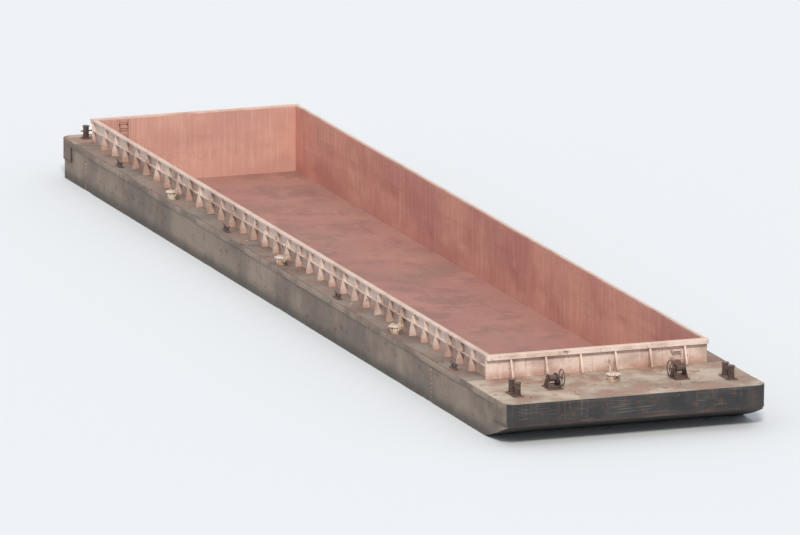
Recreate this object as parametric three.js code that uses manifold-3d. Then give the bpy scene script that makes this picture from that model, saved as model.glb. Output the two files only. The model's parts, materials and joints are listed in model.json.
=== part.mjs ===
// Open hopper river barge with a raked bow and a square stern, as a scale model at half size.
// Units are millimetres. +X is the bow, +Y is port and +Z is up.
// The origin is on the flat bottom, at the middle of the length and of the beam.
import * as THREE from "three";
import { mergeVertices } from "three/addons/utils/BufferGeometryUtils.js";
import Module from "manifold-3d";

const wasm = await Module();
wasm.setup();

// One metre of the full-size barge, in the model's millimetres
const M = 500;
// Gap left along the weld between two pieces
const SEAM = 0.4;
// Points closer than this are drawn as one
const WELD = 0.02;

// Hull
const LENGTH = 60 * M;
const BEAM = 12 * M;
const DEPTH = 2.5 * M;
const PLATE = 0.02 * M;
const LOG_THICK = 0.1 * M;
const LOG_BOTTOM = 1.5 * M;
const LOG_REACH = 28.5 * M;
const RAIL_THICK = 0.05 * M;
const RAIL_BOTTOM = 2.22 * M;
const RAIL_TOP = 2.48 * M;
const RAIL_BEVEL = 0.03 * M;
const CORNER_R = 0.45 * M;
const BILGE_R = 0.3 * M;
const TRANSOM_R = 0.5 * M;
const RAKE_START = 22.5 * M;
const ARC_STEPS = 7;
const CORNER_STEPS = 4;
const HULL_LENGTH = LENGTH - 2 * LOG_THICK;
const HULL_BEAM = BEAM - 2 * RAIL_THICK;

// Cargo hopper
const HOPPER_FORE = 25 * M;
const HOPPER_AFT = -28 * M;
const HOPPER_MIDDLE = (HOPPER_FORE + HOPPER_AFT) / 2;
const HOPPER_WIDTH = 9.8 * M;
const FLOOR_TOP = 0.45 * M;
const HOPPER_Y = HOPPER_WIDTH / 2;
const BOX_FORE = HOPPER_FORE + PLATE;
const BOX_AFT = HOPPER_AFT - PLATE;
const BOX_Y = HOPPER_Y + PLATE;

// Coamings, standing on the deck round the hopper
const COAMING_TOP = DEPTH + 1.1 * M;
const CAP_HEIGHT = 0.1 * M;
const CAP_WIDTH = 0.18 * M;
const CAP_BEVEL = 0.03 * M;
const STIFFENER_Z = DEPTH + 0.55 * M;
const BRACKET_PITCH = 1.5 * M;
const BRACKET_COUNT = 34;
const BRACKET_FOOT = 0.35 * M;
const BRACKET_HEAD = 0.14 * M;
const BRACKET_TOE = 0.08 * M;
const FLANGE_WIDTH = 0.09 * M;
const FLANGE_THICK = 0.016 * M;
const END_CAP_HEIGHT = 0.22 * M;
const END_CAP_WIDTH = 0.25 * M;
const END_BRACKET_PITCH = 1.6 * M;
const END_BRACKET_COUNT = 6;
const END_BRACKET_FOOT = 0.5 * M;
const END_COAMING_Y = HOPPER_Y + 0.2 * M;
const STEP_Y = 3.6 * M;
const STEP_WIDTH = 0.4 * M;
// Height above the deck and reach from the coaming of each step
const STEPS = [
  [0.35 * M, 0.52 * M],
  [0.7 * M, 0.38 * M],
];

// Where the deck fittings stand: name, x, y and turn
const BITTS = [
  ["bow_port", 28.1 * M, 4.9 * M, 0],
  ["bow_starboard", 28.1 * M, -4.9 * M, 0],
  ["stern_port", -29.05 * M, 4.7 * M, Math.PI / 2],
  ["stern_starboard", -29.05 * M, -4.7 * M, Math.PI / 2],
];
const KEVEL_Y = 5.62 * M;
const KEVELS = [
  ["1", 22.5 * M],
  ["2", 7.5 * M],
  ["3", -7.5 * M],
  ["4", -22.5 * M],
];
const HATCH_Y = 5.6 * M;
const HATCHES = [
  ["bow", 27.1 * M, 0, Math.PI],
  ["port_1", 15 * M, HATCH_Y, 0],
  ["port_2", 0, HATCH_Y, 0],
  ["port_3", -15 * M, HATCH_Y, 0],
  ["starboard_1", 15 * M, -HATCH_Y, 0],
  ["starboard_2", 0, -HATCH_Y, 0],
  ["starboard_3", -15 * M, -HATCH_Y, 0],
  ["stern", -29.05 * M, 0, Math.PI / 2],
];
const WINCHES = [
  ["port", 27.4 * M, 2.9 * M, Math.PI],
  ["starboard", 27.4 * M, -2.9 * M, 0],
];

const paint = (color, roughness, metalness) =>
  new THREE.MeshStandardMaterial({ color, roughness, metalness });
const hullPaint = paint(0x4d4a44, 0.75, 0.1);
const logPaint = paint(0x6f6659, 0.7, 0.1);
const deckPaint = paint(0x9a8877, 0.8, 0.1);
const hopperPlate = paint(0x9c5446, 0.85, 0.1);
const coamingPaint = paint(0xd8c3a8, 0.7, 0.1);
const fittingPaint = paint(0x5a5149, 0.6, 0.3);
const lidPaint = paint(0xb7a78f, 0.65, 0.2);
const wireSteel = paint(0x4a443f, 0.5, 0.6);

const barge = new THREE.Group();

// Turns an outline's own plane and depth into the barge's axes:
// (y, z) carried along x, (x, z) along y and (x, y) along z
const TURNS = {
  x: new THREE.Matrix4().set(0, 0, 1, 0, 1, 0, 0, 0, 0, 1, 0, 0, 0, 0, 0, 1),
  y: new THREE.Matrix4().set(1, 0, 0, 0, 0, 0, -1, 0, 0, 1, 0, 0, 0, 0, 0, 1),
  z: new THREE.Matrix4(),
};

// A geometry as a solid that can be joined and cut
function solid(geometry) {
  const bare = geometry.index ? geometry.toNonIndexed() : geometry.clone();
  bare.deleteAttribute("normal");
  bare.deleteAttribute("uv");
  const merged = mergeVertices(bare, WELD / 20);
  return new wasm.Manifold(
    new wasm.Mesh({
      numProp: 3,
      vertProperties: merged.attributes.position.array,
      triVerts: new Uint32Array(merged.index.array),
    }),
  );
}

function geometryOf(manifold) {
  const mesh = manifold.asOriginal().simplify(WELD).getMesh();
  const geometry = new THREE.BufferGeometry();
  geometry.setAttribute("position", new THREE.BufferAttribute(mesh.vertProperties, 3));
  geometry.setIndex(new THREE.BufferAttribute(mesh.triVerts, 1));
  return geometry;
}

// A shape, or a list of its corners, carried along one axis
function prism(axis, outline, from, to, curveSegments = ARC_STEPS) {
  const shape = Array.isArray(outline)
    ? new THREE.Shape(outline.map(([u, v]) => new THREE.Vector2(u, v)))
    : outline;
  const depth = to - from;
  const geometry = new THREE.ExtrudeGeometry(shape, { depth, curveSegments, bevelEnabled: false });
  geometry.applyMatrix4(TURNS[axis]);
  const start = { x: [from, 0, 0], y: [0, to, 0], z: [0, 0, from] }[axis];
  return solid(geometry.translate(...start));
}

function box([x0, x1], [y0, y1], [z0, z1]) {
  const geometry = new THREE.BoxGeometry(x1 - x0, y1 - y0, z1 - z0);
  return solid(geometry.translate((x0 + x1) / 2, (y0 + y1) / 2, (z0 + z1) / 2));
}

// A round bar along x, y or z, centred on a point
function bar(axis, radius, length, [x, y, z], sides = 8) {
  const geometry = new THREE.CylinderGeometry(radius, radius, length, sides);
  if (axis === "x") {
    geometry.rotateZ(Math.PI / 2);
  }
  if (axis === "z") {
    geometry.rotateX(Math.PI / 2);
  }
  return solid(geometry.translate(x, y, z));
}

// A turned body about the vertical axis: the profile lists radius and height, upwards on its outside
function turned(profile, sides) {
  const points = profile.map(([radius, height]) => new THREE.Vector2(radius, height));
  return solid(new THREE.LatheGeometry(points, sides).rotateX(Math.PI / 2));
}

// A round pipe through a list of points
function pipe(points, radius, steps, sides = 8) {
  const section = [];
  for (let i = 0; i < sides; i++) {
    const angle = (2 * Math.PI * i) / sides;
    section.push(new THREE.Vector2(radius * Math.cos(angle), radius * Math.sin(angle)));
  }
  const extrudePath = new THREE.CatmullRomCurve3(points.map((point) => new THREE.Vector3(...point)));
  return solid(new THREE.ExtrudeGeometry(new THREE.Shape(section), { steps, extrudePath }));
}

const join = (parts) => parts.reduce((whole, part) => whole.add(part));

// A port solid as the starboard one
const mirrored = (part) => part.mirror([0, 1, 0]);

function place(name, manifold, material, [x, y, z] = [0, 0, 0], turn = 0) {
  const mesh = new THREE.Mesh(geometryOf(manifold), material);
  mesh.name = name;
  mesh.position.set(x, y, z);
  mesh.rotation.z = turn;
  barge.add(mesh);
}

// Side view of the hull: upright at the stern, with a flat bottom that sweeps up in one arc at the bow
function sideOutline() {
  const end = HULL_LENGTH / 2;
  const run = end - RAKE_START;
  const radius = (run * run + LOG_BOTTOM * LOG_BOTTOM) / (2 * LOG_BOTTOM);
  const sweep = Math.asin(run / radius);
  const down = -Math.PI / 2;
  const shape = new THREE.Shape();
  shape.moveTo(-end, DEPTH);
  shape.lineTo(-end, TRANSOM_R);
  shape.absarc(-end + TRANSOM_R, TRANSOM_R, TRANSOM_R, 2 * down, down, false);
  shape.absarc(RAKE_START, radius, radius, down, down + sweep, false);
  shape.lineTo(end, DEPTH);
  return shape;
}

// Cross section of the hull, with rounded bilges
function sectionOutline() {
  const side = HULL_BEAM / 2;
  const down = -Math.PI / 2;
  const shape = new THREE.Shape();
  shape.moveTo(-side, DEPTH);
  shape.lineTo(-side, BILGE_R);
  shape.absarc(-side + BILGE_R, BILGE_R, BILGE_R, 2 * down, down, false);
  shape.absarc(side - BILGE_R, BILGE_R, BILGE_R, down, 0, false);
  shape.lineTo(side, DEPTH);
  return shape;
}

// A rectangle in plan with rounded corners
function planOutline(length, beam, radius) {
  const x = length / 2 - radius;
  const y = beam / 2 - radius;
  const quarter = Math.PI / 2;
  const shape = new THREE.Shape();
  shape.absarc(x, -y, radius, -quarter, 0, false);
  shape.absarc(x, y, radius, 0, quarter, false);
  shape.absarc(-x, y, radius, quarter, 2 * quarter, false);
  shape.absarc(-x, -y, radius, 2 * quarter, 3 * quarter, false);
  return shape;
}

// The end tanks, wing tanks and double bottom are cut from one hull form
function addHull() {
  const plan = planOutline(HULL_LENGTH, HULL_BEAM, CORNER_R);
  const form = prism("y", sideOutline(), -BEAM, BEAM)
    .intersect(prism("x", sectionOutline(), -LENGTH, LENGTH, CORNER_STEPS))
    .intersect(prism("z", plan, -DEPTH, 2 * DEPTH, CORNER_STEPS));
  const across = [-BEAM, BEAM];
  const forward = [BOX_FORE + SEAM, LENGTH];
  const aftward = [-LENGTH, BOX_AFT - SEAM];
  const along = [BOX_AFT, BOX_FORE];
  const outboard = [BOX_Y + SEAM, BEAM];
  const tankHeight = [-DEPTH, DEPTH - PLATE - SEAM];
  place("bow_rake", form.intersect(box(forward, across, tankHeight)), hullPaint);
  place("stern_tank", form.intersect(box(aftward, across, tankHeight)), hullPaint);
  const wing = form.intersect(box(along, outboard, tankHeight));
  place("wing_tank_port", wing, hullPaint);
  place("wing_tank_starboard", mirrored(wing), hullPaint);
  const bottomHeight = [-DEPTH, FLOOR_TOP - PLATE - SEAM];
  place("double_bottom", form.intersect(box(along, [-BOX_Y, BOX_Y], bottomHeight)), hullPaint);

  const deck = prism("z", plan, DEPTH - PLATE, DEPTH, CORNER_STEPS);
  const anyHeight = [0, 2 * DEPTH];
  place("deck_bow", deck.intersect(box(forward, across, anyHeight)), deckPaint);
  place("deck_stern", deck.intersect(box(aftward, across, anyHeight)), deckPaint);
  const sideDeck = deck.intersect(box(along, outboard, anyHeight));
  place("deck_port", sideDeck, deckPaint);
  place("deck_starboard", mirrored(sideDeck), deckPaint);
}

// Headlogs wrap the corners at each end; rub rails run along the deck edge between them
function addHeadlogsAndRails() {
  const outer = planOutline(LENGTH, BEAM, CORNER_R + RAIL_THICK);
  const inner = planOutline(HULL_LENGTH + 2 * SEAM, HULL_BEAM + 2 * SEAM, CORNER_R + SEAM);
  const log = prism("z", outer, LOG_BOTTOM, DEPTH, CORNER_STEPS)
    .subtract(prism("z", inner, 0, 2 * DEPTH, CORNER_STEPS))
    .intersect(box([LOG_REACH, LENGTH], [-BEAM, BEAM], [0, 2 * DEPTH]));
  place("headlog_bow", log, logPaint);
  place("headlog_stern", log, logPaint, [0, 0, 0], Math.PI);

  const foot = HULL_BEAM / 2 + SEAM;
  const face = BEAM / 2;
  const profile = [
    [foot, RAIL_BOTTOM],
    [face, RAIL_BOTTOM + RAIL_BEVEL],
    [face, RAIL_TOP - RAIL_BEVEL],
    [foot, RAIL_TOP],
  ];
  const rail = prism("x", profile, SEAM - LOG_REACH, LOG_REACH - SEAM);
  place("rub_rail_port", rail, logPaint);
  place("rub_rail_starboard", mirrored(rail), logPaint);
}

// The five panels of the cargo hopper
function addHopper() {
  const x = [HOPPER_AFT + SEAM, HOPPER_FORE - SEAM];
  const y = HOPPER_Y - SEAM;
  const low = FLOOR_TOP - PLATE;
  place("hopper_floor", box(x, [-y, y], [low, FLOOR_TOP]), hopperPlate);
  const side = box(x, [HOPPER_Y, BOX_Y], [low, DEPTH]);
  place("hopper_side_port", side, hopperPlate);
  place("hopper_side_starboard", mirrored(side), hopperPlate);
  const across = [-BOX_Y, BOX_Y];
  place("hopper_end_bow", box([HOPPER_FORE, BOX_FORE], across, [low, DEPTH]), hopperPlate);
  place("hopper_end_stern", box([BOX_AFT, HOPPER_AFT], across, [low, DEPTH]), hopperPlate);
}

// A bracket's plate, across x or y at a place, with a flat bar along its sloping edge from toe to head
function bracket(axis, [inFoot, outFoot, toe, head, inHead], at) {
  const slope = Math.hypot(head[0] - toe[0], head[1] - toe[1]);
  const inward = [(toe[1] - head[1]) / slope, (head[0] - toe[0]) / slope];
  const shifted = ([u, v], distance) => [u + inward[0] * distance, v + inward[1] * distance];
  const strip = [toe, head, shifted(head, FLANGE_THICK), shifted(toe, FLANGE_THICK)];
  const web = [inFoot, outFoot, shifted(toe, FLANGE_THICK / 2), shifted(head, FLANGE_THICK / 2), inHead];
  return prism(axis, web, at - PLATE / 2, at + PLATE / 2).add(
    prism(axis, strip, at - FLANGE_WIDTH / 2, at + FLANGE_WIDTH / 2),
  );
}

// A side coaming: plate, capping bar and long stiffener in one section, with a bracket at every frame
function sideCoaming() {
  const foot = DEPTH + SEAM;
  const capLow = COAMING_TOP - CAP_HEIGHT;
  const capOut = HOPPER_Y + CAP_WIDTH;
  const section = [
    [HOPPER_Y, foot],
    [BOX_Y, foot],
    [BOX_Y, STIFFENER_Z],
    [capOut, STIFFENER_Z],
    [capOut, STIFFENER_Z + PLATE],
    [BOX_Y, STIFFENER_Z + PLATE],
    [BOX_Y, capLow],
    [capOut, capLow],
    [capOut, COAMING_TOP - CAP_BEVEL],
    [capOut - CAP_BEVEL, COAMING_TOP],
    [HOPPER_Y, COAMING_TOP],
  ];
  const inside = BOX_Y - PLATE / 2;
  const outline = [
    [inside, foot],
    [HOPPER_Y + BRACKET_FOOT, foot],
    [HOPPER_Y + BRACKET_FOOT, foot + BRACKET_TOE],
    [HOPPER_Y + BRACKET_HEAD, capLow + PLATE],
    [inside, capLow + PLATE],
  ];
  const parts = [prism("x", section, HOPPER_AFT + SEAM, HOPPER_FORE - SEAM)];
  for (let i = 0; i < BRACKET_COUNT; i++) {
    parts.push(bracket("x", outline, HOPPER_MIDDLE + (i - (BRACKET_COUNT - 1) / 2) * BRACKET_PITCH));
  }
  return join(parts);
}

// An end coaming, whose inner face is at x = 0: plate, box girder on top, brackets on the deck side and
// two steps to climb over by
function endCoaming() {
  const foot = DEPTH + SEAM;
  const inside = PLATE / 2;
  const capLow = COAMING_TOP - END_CAP_HEIGHT;
  const section = [
    [0, foot],
    [PLATE, foot],
    [PLATE, capLow],
    [END_CAP_WIDTH, capLow],
    [END_CAP_WIDTH, COAMING_TOP - CAP_BEVEL],
    [END_CAP_WIDTH - CAP_BEVEL, COAMING_TOP],
    [0, COAMING_TOP],
  ];
  const outline = [
    [inside, foot],
    [END_BRACKET_FOOT, foot],
    [END_BRACKET_FOOT, foot + BRACKET_TOE],
    [END_CAP_WIDTH - 2 * PLATE, capLow + PLATE],
    [inside, capLow + PLATE],
  ];
  const parts = [prism("y", section, -END_COAMING_Y, END_COAMING_Y)];
  for (let i = 0; i < END_BRACKET_COUNT; i++) {
    parts.push(bracket("y", outline, (i - (END_BRACKET_COUNT - 1) / 2) * END_BRACKET_PITCH));
  }
  for (const [height, reach] of STEPS) {
    const z = DEPTH + height;
    const y = [STEP_Y - STEP_WIDTH / 2, STEP_Y + STEP_WIDTH / 2];
    parts.push(box([inside, reach], y, [z, z + PLATE]));
    for (const side of y) {
      const cheek = [side - PLATE / 2, side + PLATE / 2];
      parts.push(box([inside, reach + PLATE / 2], cheek, [z - 3 * PLATE, z + 2 * PLATE]));
    }
  }
  return join(parts);
}

function addCoamings() {
  const side = sideCoaming();
  const end = endCoaming();
  place("coaming_port", side, coamingPaint);
  place("coaming_starboard", mirrored(side), coamingPaint);
  place("coaming_bow", end, coamingPaint, [HOPPER_FORE, 0, 0]);
  place("coaming_stern", end, coamingPaint, [HOPPER_AFT, 0, 0], Math.PI);
}

// Double bitts
const BITT_R = 0.135 * M;
const BITT_CAP_R = 0.165 * M;
const BITT_HEIGHT = 0.62 * M;
const BITT_CAP_LOW = BITT_HEIGHT - 0.09 * M;
const BITT_CAP_EDGE = [BITT_HEIGHT - 0.07 * M, BITT_HEIGHT - 0.02 * M];
const BITT_SPREAD = 0.36 * M;
const BITT_SIDES = 14;
const BITT_BASE = [1.16 * M, 0.48 * M, 0.03 * M];
const BITT_BAR_R = 0.032 * M;
const BITT_BAR_Z = 0.36 * M;
const BITT_BAR_LENGTH = 1.24 * M;

// A plate that lies on the deck, centred on the fitting's own axis
const basePlate = ([length, width, height]) =>
  box([-length / 2, length / 2], [-width / 2, width / 2], [0, height]);

// Two capped posts on a base plate, with a bar through both
function bitt() {
  const [edgeLow, edgeHigh] = BITT_CAP_EDGE;
  const post = turned(
    [
      [0, 0],
      [BITT_R, 0],
      [BITT_R, BITT_CAP_LOW],
      [BITT_CAP_R, edgeLow],
      [BITT_CAP_R, edgeHigh],
      [0.6 * BITT_CAP_R, BITT_HEIGHT],
      [0, BITT_HEIGHT],
    ],
    BITT_SIDES,
  );
  return join([
    basePlate(BITT_BASE),
    post.translate([BITT_SPREAD, 0, 0]),
    post.translate([-BITT_SPREAD, 0, 0]),
    bar("x", BITT_BAR_R, BITT_BAR_LENGTH, [0, 0, BITT_BAR_Z]),
  ]);
}

// Kevels
const KEVEL_HALF = 0.48 * M;
const KEVEL_THICK = 0.11 * M;
const KEVEL_BASE = [0.76 * M, 0.24 * M, 0.025 * M];
const KEVEL_LEG_X = 0.19 * M;
const KEVEL_LEG_HEIGHT = 0.2 * M;
const KEVEL_BAR_LOW = 0.17 * M;
const KEVEL_BAR_HIGH = 0.27 * M;
const KEVEL_HORN_LOW = 0.25 * M;
const KEVEL_HORN_HIGH = 0.31 * M;
const KEVEL_BEND_X = 0.3 * M;
const KEVEL_PALM_X = 0.26 * M;

// A long bar with upturned horns, on two legs a little thicker than the bar
function kevel() {
  const horns = [
    [-KEVEL_HALF, KEVEL_HORN_LOW],
    [-KEVEL_BEND_X, KEVEL_BAR_LOW],
    [KEVEL_BEND_X, KEVEL_BAR_LOW],
    [KEVEL_HALF, KEVEL_HORN_LOW],
    [KEVEL_HALF, KEVEL_HORN_HIGH],
    [KEVEL_PALM_X, KEVEL_BAR_HIGH],
    [-KEVEL_PALM_X, KEVEL_BAR_HIGH],
    [-KEVEL_HALF, KEVEL_HORN_HIGH],
  ];
  const side = KEVEL_THICK / 2;
  const face = side - 1;
  const leg = box([-side, side], [-side, side], [KEVEL_BASE[2] / 2, KEVEL_LEG_HEIGHT]);
  return join([
    basePlate(KEVEL_BASE),
    leg.translate([KEVEL_LEG_X, 0, 0]),
    leg.translate([-KEVEL_LEG_X, 0, 0]),
    prism("y", horns, -face, face),
  ]);
}

// Raised deck hatch: the trunk's inner, outer and flange radius, and the hinge pin's place in its own frame
const TRUNK_IN = 0.24 * M;
const TRUNK_OUT = 0.26 * M;
const TRUNK_FLANGE = 0.29 * M;
const TRUNK_TOP = 0.32 * M;
const FLANGE_LOW = 0.295 * M;
const HATCH_SIDES = 16;
const PIN_X = -0.4 * M;
const PIN_Z = 0.335 * M;
const PIN_R = 0.014 * M;
const PIN_PLAY = 0.8;
const LUG_Y = [0.07 * M, 0.09 * M];
// The hinge lug, which stands clear of the flange: x and z of its corners
const LUG = [
  [-0.235 * M, 0.12 * M],
  [-0.235 * M, 0.27 * M],
  [-0.355 * M, 0.27 * M],
  [-0.355 * M, 0.37 * M],
  [-0.445 * M, 0.37 * M],
  [-0.445 * M, 0.28 * M],
];

// The tank's vent, a gooseneck pipe that leaves the trunk away from the hinge: x and z along it
const VENT_R = 0.045 * M;
const VENT_STEPS = 16;
const VENT_RISE = 0.42 * M;
const VENT_DROP = 0.62 * M;
const VENT_MOUTH_R = 1.35 * VENT_R;
const VENT_MOUTH_HEIGHT = 0.05 * M;
const VENT_MOUTH_Z = 0.345 * M;
const VENT_ROUTE = [
  [0.25 * M, 0.16 * M],
  [0.36 * M, 0.16 * M],
  [VENT_RISE, 0.23 * M],
  [VENT_RISE, 0.42 * M],
  [0.45 * M, 0.5 * M],
  [(VENT_RISE + VENT_DROP) / 2, 0.53 * M],
  [0.59 * M, 0.5 * M],
  [VENT_DROP, 0.42 * M],
  [VENT_DROP, 0.34 * M],
];

// The fixed trunk: a flanged ring with two hinge lugs, the pin between them and the vent
function hatchTrunk() {
  const ring = turned(
    [
      [TRUNK_IN, 0],
      [TRUNK_OUT, 0],
      [TRUNK_OUT, FLANGE_LOW],
      [TRUNK_FLANGE, FLANGE_LOW],
      [TRUNK_FLANGE, TRUNK_TOP],
      [TRUNK_IN, TRUNK_TOP],
      [TRUNK_IN, 0],
    ],
    HATCH_SIDES,
  );
  const [near, far] = LUG_Y;
  return join([
    ring,
    prism("y", LUG, near, far),
    prism("y", LUG, -far, -near),
    bar("y", PIN_R, 2 * far, [PIN_X, 0, PIN_Z]),
    pipe(VENT_ROUTE.map(([x, z]) => [x, 0, z]), VENT_R, VENT_STEPS),
    bar("z", VENT_MOUTH_R, VENT_MOUTH_HEIGHT, [VENT_DROP, 0, VENT_MOUTH_Z]),
  ]);
}

// The hatch's lid
const LID_UNDER = TRUNK_TOP + SEAM;
const LID_R = 0.335 * M;
const LID_INSIDE_R = 0.312 * M;
const LID_SKIRT = 0.02 * M;
const LID_DOME = 0.04 * M;
const STRAP_HALF = 0.045 * M;
const STRAP_END = -0.1 * M;
const STRAP_Z = [LID_UNDER + 0.012 * M, LID_UNDER + 0.045 * M];
const KNUCKLE_R = 0.034 * M;
const KNUCKLE_LENGTH = 0.11 * M;
const HANDLE_X = [0.2 * M, 0.216 * M];
const HANDLE_Y = 0.06 * M;
const HANDLE_THICK = 0.016 * M;
const HANDLE_Z = [LID_UNDER + 0.01 * M, LID_UNDER + 0.08 * M];

// A domed disc with a skirt, a strap to the knuckle on the pin, and a lifting handle
function hatchLid() {
  const disc = turned(
    [
      [0, LID_UNDER],
      [LID_INSIDE_R, LID_UNDER],
      [LID_INSIDE_R, LID_UNDER - LID_SKIRT],
      [LID_R, LID_UNDER - LID_SKIRT],
      [LID_R, LID_UNDER + LID_SKIRT],
      [LID_R / 2, LID_UNDER + 0.9 * LID_DOME],
      [0, LID_UNDER + LID_DOME],
    ],
    HATCH_SIDES,
  );
  const knuckle = bar("y", KNUCKLE_R, KNUCKLE_LENGTH, [PIN_X, 0, PIN_Z], 10);
  const bore = bar("y", PIN_R + PIN_PLAY, 2 * KNUCKLE_LENGTH, [PIN_X, 0, PIN_Z], 10);
  const half = HANDLE_THICK / 2;
  const post = box(HANDLE_X, [-half, half], HANDLE_Z);
  const reach = HANDLE_Y + half;
  return join([
    disc,
    box([PIN_X, STRAP_END], [-STRAP_HALF, STRAP_HALF], STRAP_Z),
    knuckle,
    post.translate([0, HANDLE_Y, 0]),
    post.translate([0, -HANDLE_Y, 0]),
    box(HANDLE_X, [-reach, reach], [HANDLE_Z[1] - HANDLE_THICK, HANDLE_Z[1]]),
  ]).subtract(bore);
}

// Hand winch's frame
const WINCH_BASE = [M, 0.68 * M, 0.03 * M];
const SHAFT_Z = 0.42 * M;
const SHAFT_R = 0.035 * M;
const SHAFT_PLAY = 1.2;
const CHEEK_Y = 0.26 * M;
const CHEEK_THICK = 0.03 * M;
const CHEEK_HALF = 0.42 * M;
const CHEEK_HEAD_R = 0.12 * M;
const CHEEK_LOW = 0.01 * M;
const TIE_R = 0.022 * M;
const TIE_X = 0.31 * M;
const TIE_Z = 0.11 * M;
const POST_X = [-0.39 * M, -0.34 * M];
const POST_Y = [0.22 * M, 0.255 * M];
const POST_Z = [0.02 * M, 0.5 * M];
const PAWL_Y = [0.155 * M, 0.23 * M];
// The pawl, lifted clear of the ratchet wheel: x and z of its corners
const PAWL = [
  [-0.4 * M, 0.46 * M],
  [-0.33 * M, 0.46 * M],
  [-0.19 * M, 0.575 * M],
  [-0.19 * M, 0.61 * M],
  [-0.36 * M, 0.53 * M],
];

// Base plate, two cheeks with the shaft's holes, tie rods, and a post with the pawl
function winchFrame() {
  const cheekShape = new THREE.Shape();
  cheekShape.moveTo(-CHEEK_HALF, CHEEK_LOW);
  cheekShape.lineTo(CHEEK_HALF, CHEEK_LOW);
  cheekShape.absarc(0, SHAFT_Z, CHEEK_HEAD_R, Math.PI / 8, Math.PI - Math.PI / 8, false);
  const cheek = prism("y", cheekShape, -CHEEK_THICK / 2, CHEEK_THICK / 2, 5).subtract(
    bar("y", SHAFT_R + SHAFT_PLAY, 2 * CHEEK_THICK, [0, 0, SHAFT_Z], 12),
  );
  return join([
    basePlate(WINCH_BASE),
    cheek.translate([0, CHEEK_Y, 0]),
    cheek.translate([0, -CHEEK_Y, 0]),
    bar("y", TIE_R, 2 * CHEEK_Y, [TIE_X, 0, TIE_Z]),
    bar("y", TIE_R, 2 * CHEEK_Y, [-TIE_X, 0, TIE_Z]),
    box(POST_X, POST_Y, POST_Z),
    prism("y", PAWL, ...PAWL_Y),
  ]);
}

// Hand winch's turning part
const SHAFT_LENGTH = 0.76 * M;
const SHAFT_MID = 0.08 * M;
const COIL_R = 0.14 * M;
const COIL_LENGTH = 0.36 * M;
const COIL_MID = -0.02 * M;
const RIM_R = 0.2 * M;
const RIM_THICK = 0.02 * M;
const RATCHET_Y = [0.15 * M, 0.19 * M];
const RATCHET_R = 0.24 * M;
const RATCHET_ROOT = 0.2 * M;
const TEETH = 16;
const TOOTH_RUN = 0.8;
const WHEEL_R = 0.35 * M;
const WHEEL_BAR = 0.022 * M;
const WHEEL_Y = 0.42 * M;
const WHEEL_HUB_R = 0.06 * M;
const SPOKES = 3;
const SPOKE_HALF = [0.014 * M, 0.016 * M];
const DRUM_SIDES = 14;
const SHAFT_SIDES = 10;

// Wound drum, flange, ratchet wheel, shaft, and a handwheel with three bars right across
function winchDrum() {
  const at = (y) => [0, y, SHAFT_Z];
  const ratchet = [];
  for (let i = 0; i < TEETH; i++) {
    const angle = (2 * Math.PI * i) / TEETH;
    const next = angle + (2 * Math.PI * TOOTH_RUN) / TEETH;
    ratchet.push([RATCHET_R * Math.cos(angle), SHAFT_Z + RATCHET_R * Math.sin(angle)]);
    ratchet.push([RATCHET_ROOT * Math.cos(next), SHAFT_Z + RATCHET_ROOT * Math.sin(next)]);
  }
  const rim = solid(new THREE.TorusGeometry(WHEEL_R, WHEEL_BAR, 5, 20).rotateX(Math.PI / 2));
  const parts = [
    bar("y", SHAFT_R, SHAFT_LENGTH, at(SHAFT_MID), SHAFT_SIDES),
    bar("y", COIL_R, COIL_LENGTH, at(COIL_MID), DRUM_SIDES),
    bar("y", RIM_R, RIM_THICK, at(COIL_MID - COIL_LENGTH / 2), DRUM_SIDES),
    prism("y", ratchet, ...RATCHET_Y),
    rim.translate([0, WHEEL_Y, SHAFT_Z]),
    bar("y", WHEEL_HUB_R, WHEEL_HUB_R, at(WHEEL_Y), SHAFT_SIDES),
  ];
  const [halfY, halfZ] = SPOKE_HALF;
  const spoke = box([-WHEEL_R, WHEEL_R], [WHEEL_Y - halfY, WHEEL_Y + halfY], [-halfZ, halfZ]);
  for (let i = 0; i < SPOKES; i++) {
    parts.push(spoke.rotate([0, (180 * i) / SPOKES, 0]).translate([0, 0, SHAFT_Z]));
  }
  return join(parts);
}

// Ladder down into the hopper, in front of an end wall whose face is at x = 0
const LADDER_X = -0.17 * M;
const LADDER_HALF = 0.2 * M;
const STILE_WIDTH = 0.06 * M;
const STILE_THICK = 0.02 * M;
const LADDER_TOP = COAMING_TOP - 0.04 * M;
const RUNGS = 10;
const RUNG_R = 0.016 * M;
const RUNG_PITCH = 0.3 * M;
const FIRST_RUNG = FLOOR_TOP + 0.25 * M;
const LADDER_FEET = [0.8 * M, 2.2 * M, 3.25 * M];
const LADDER_FOOT_HEIGHT = 0.05 * M;

// Two stiles and their rungs, held off the end wall and the coaming by short feet
function hopperLadder() {
  const parts = [];
  for (const side of [-LADDER_HALF, LADDER_HALF]) {
    const y = [side - STILE_THICK / 2, side + STILE_THICK / 2];
    const x = [LADDER_X - STILE_WIDTH / 2, LADDER_X + STILE_WIDTH / 2];
    parts.push(box(x, y, [FLOOR_TOP + SEAM, LADDER_TOP]));
    for (const z of LADDER_FEET) {
      parts.push(box([LADDER_X, -SEAM], y, [z, z + LADDER_FOOT_HEIGHT]));
    }
  }
  for (let i = 0; i < RUNGS; i++) {
    const z = FIRST_RUNG + i * RUNG_PITCH;
    parts.push(bar("y", RUNG_R, 2 * LADDER_HALF, [LADDER_X, 0, z], 6));
  }
  return join(parts).translate([0, STEP_Y, 0]);
}

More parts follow.
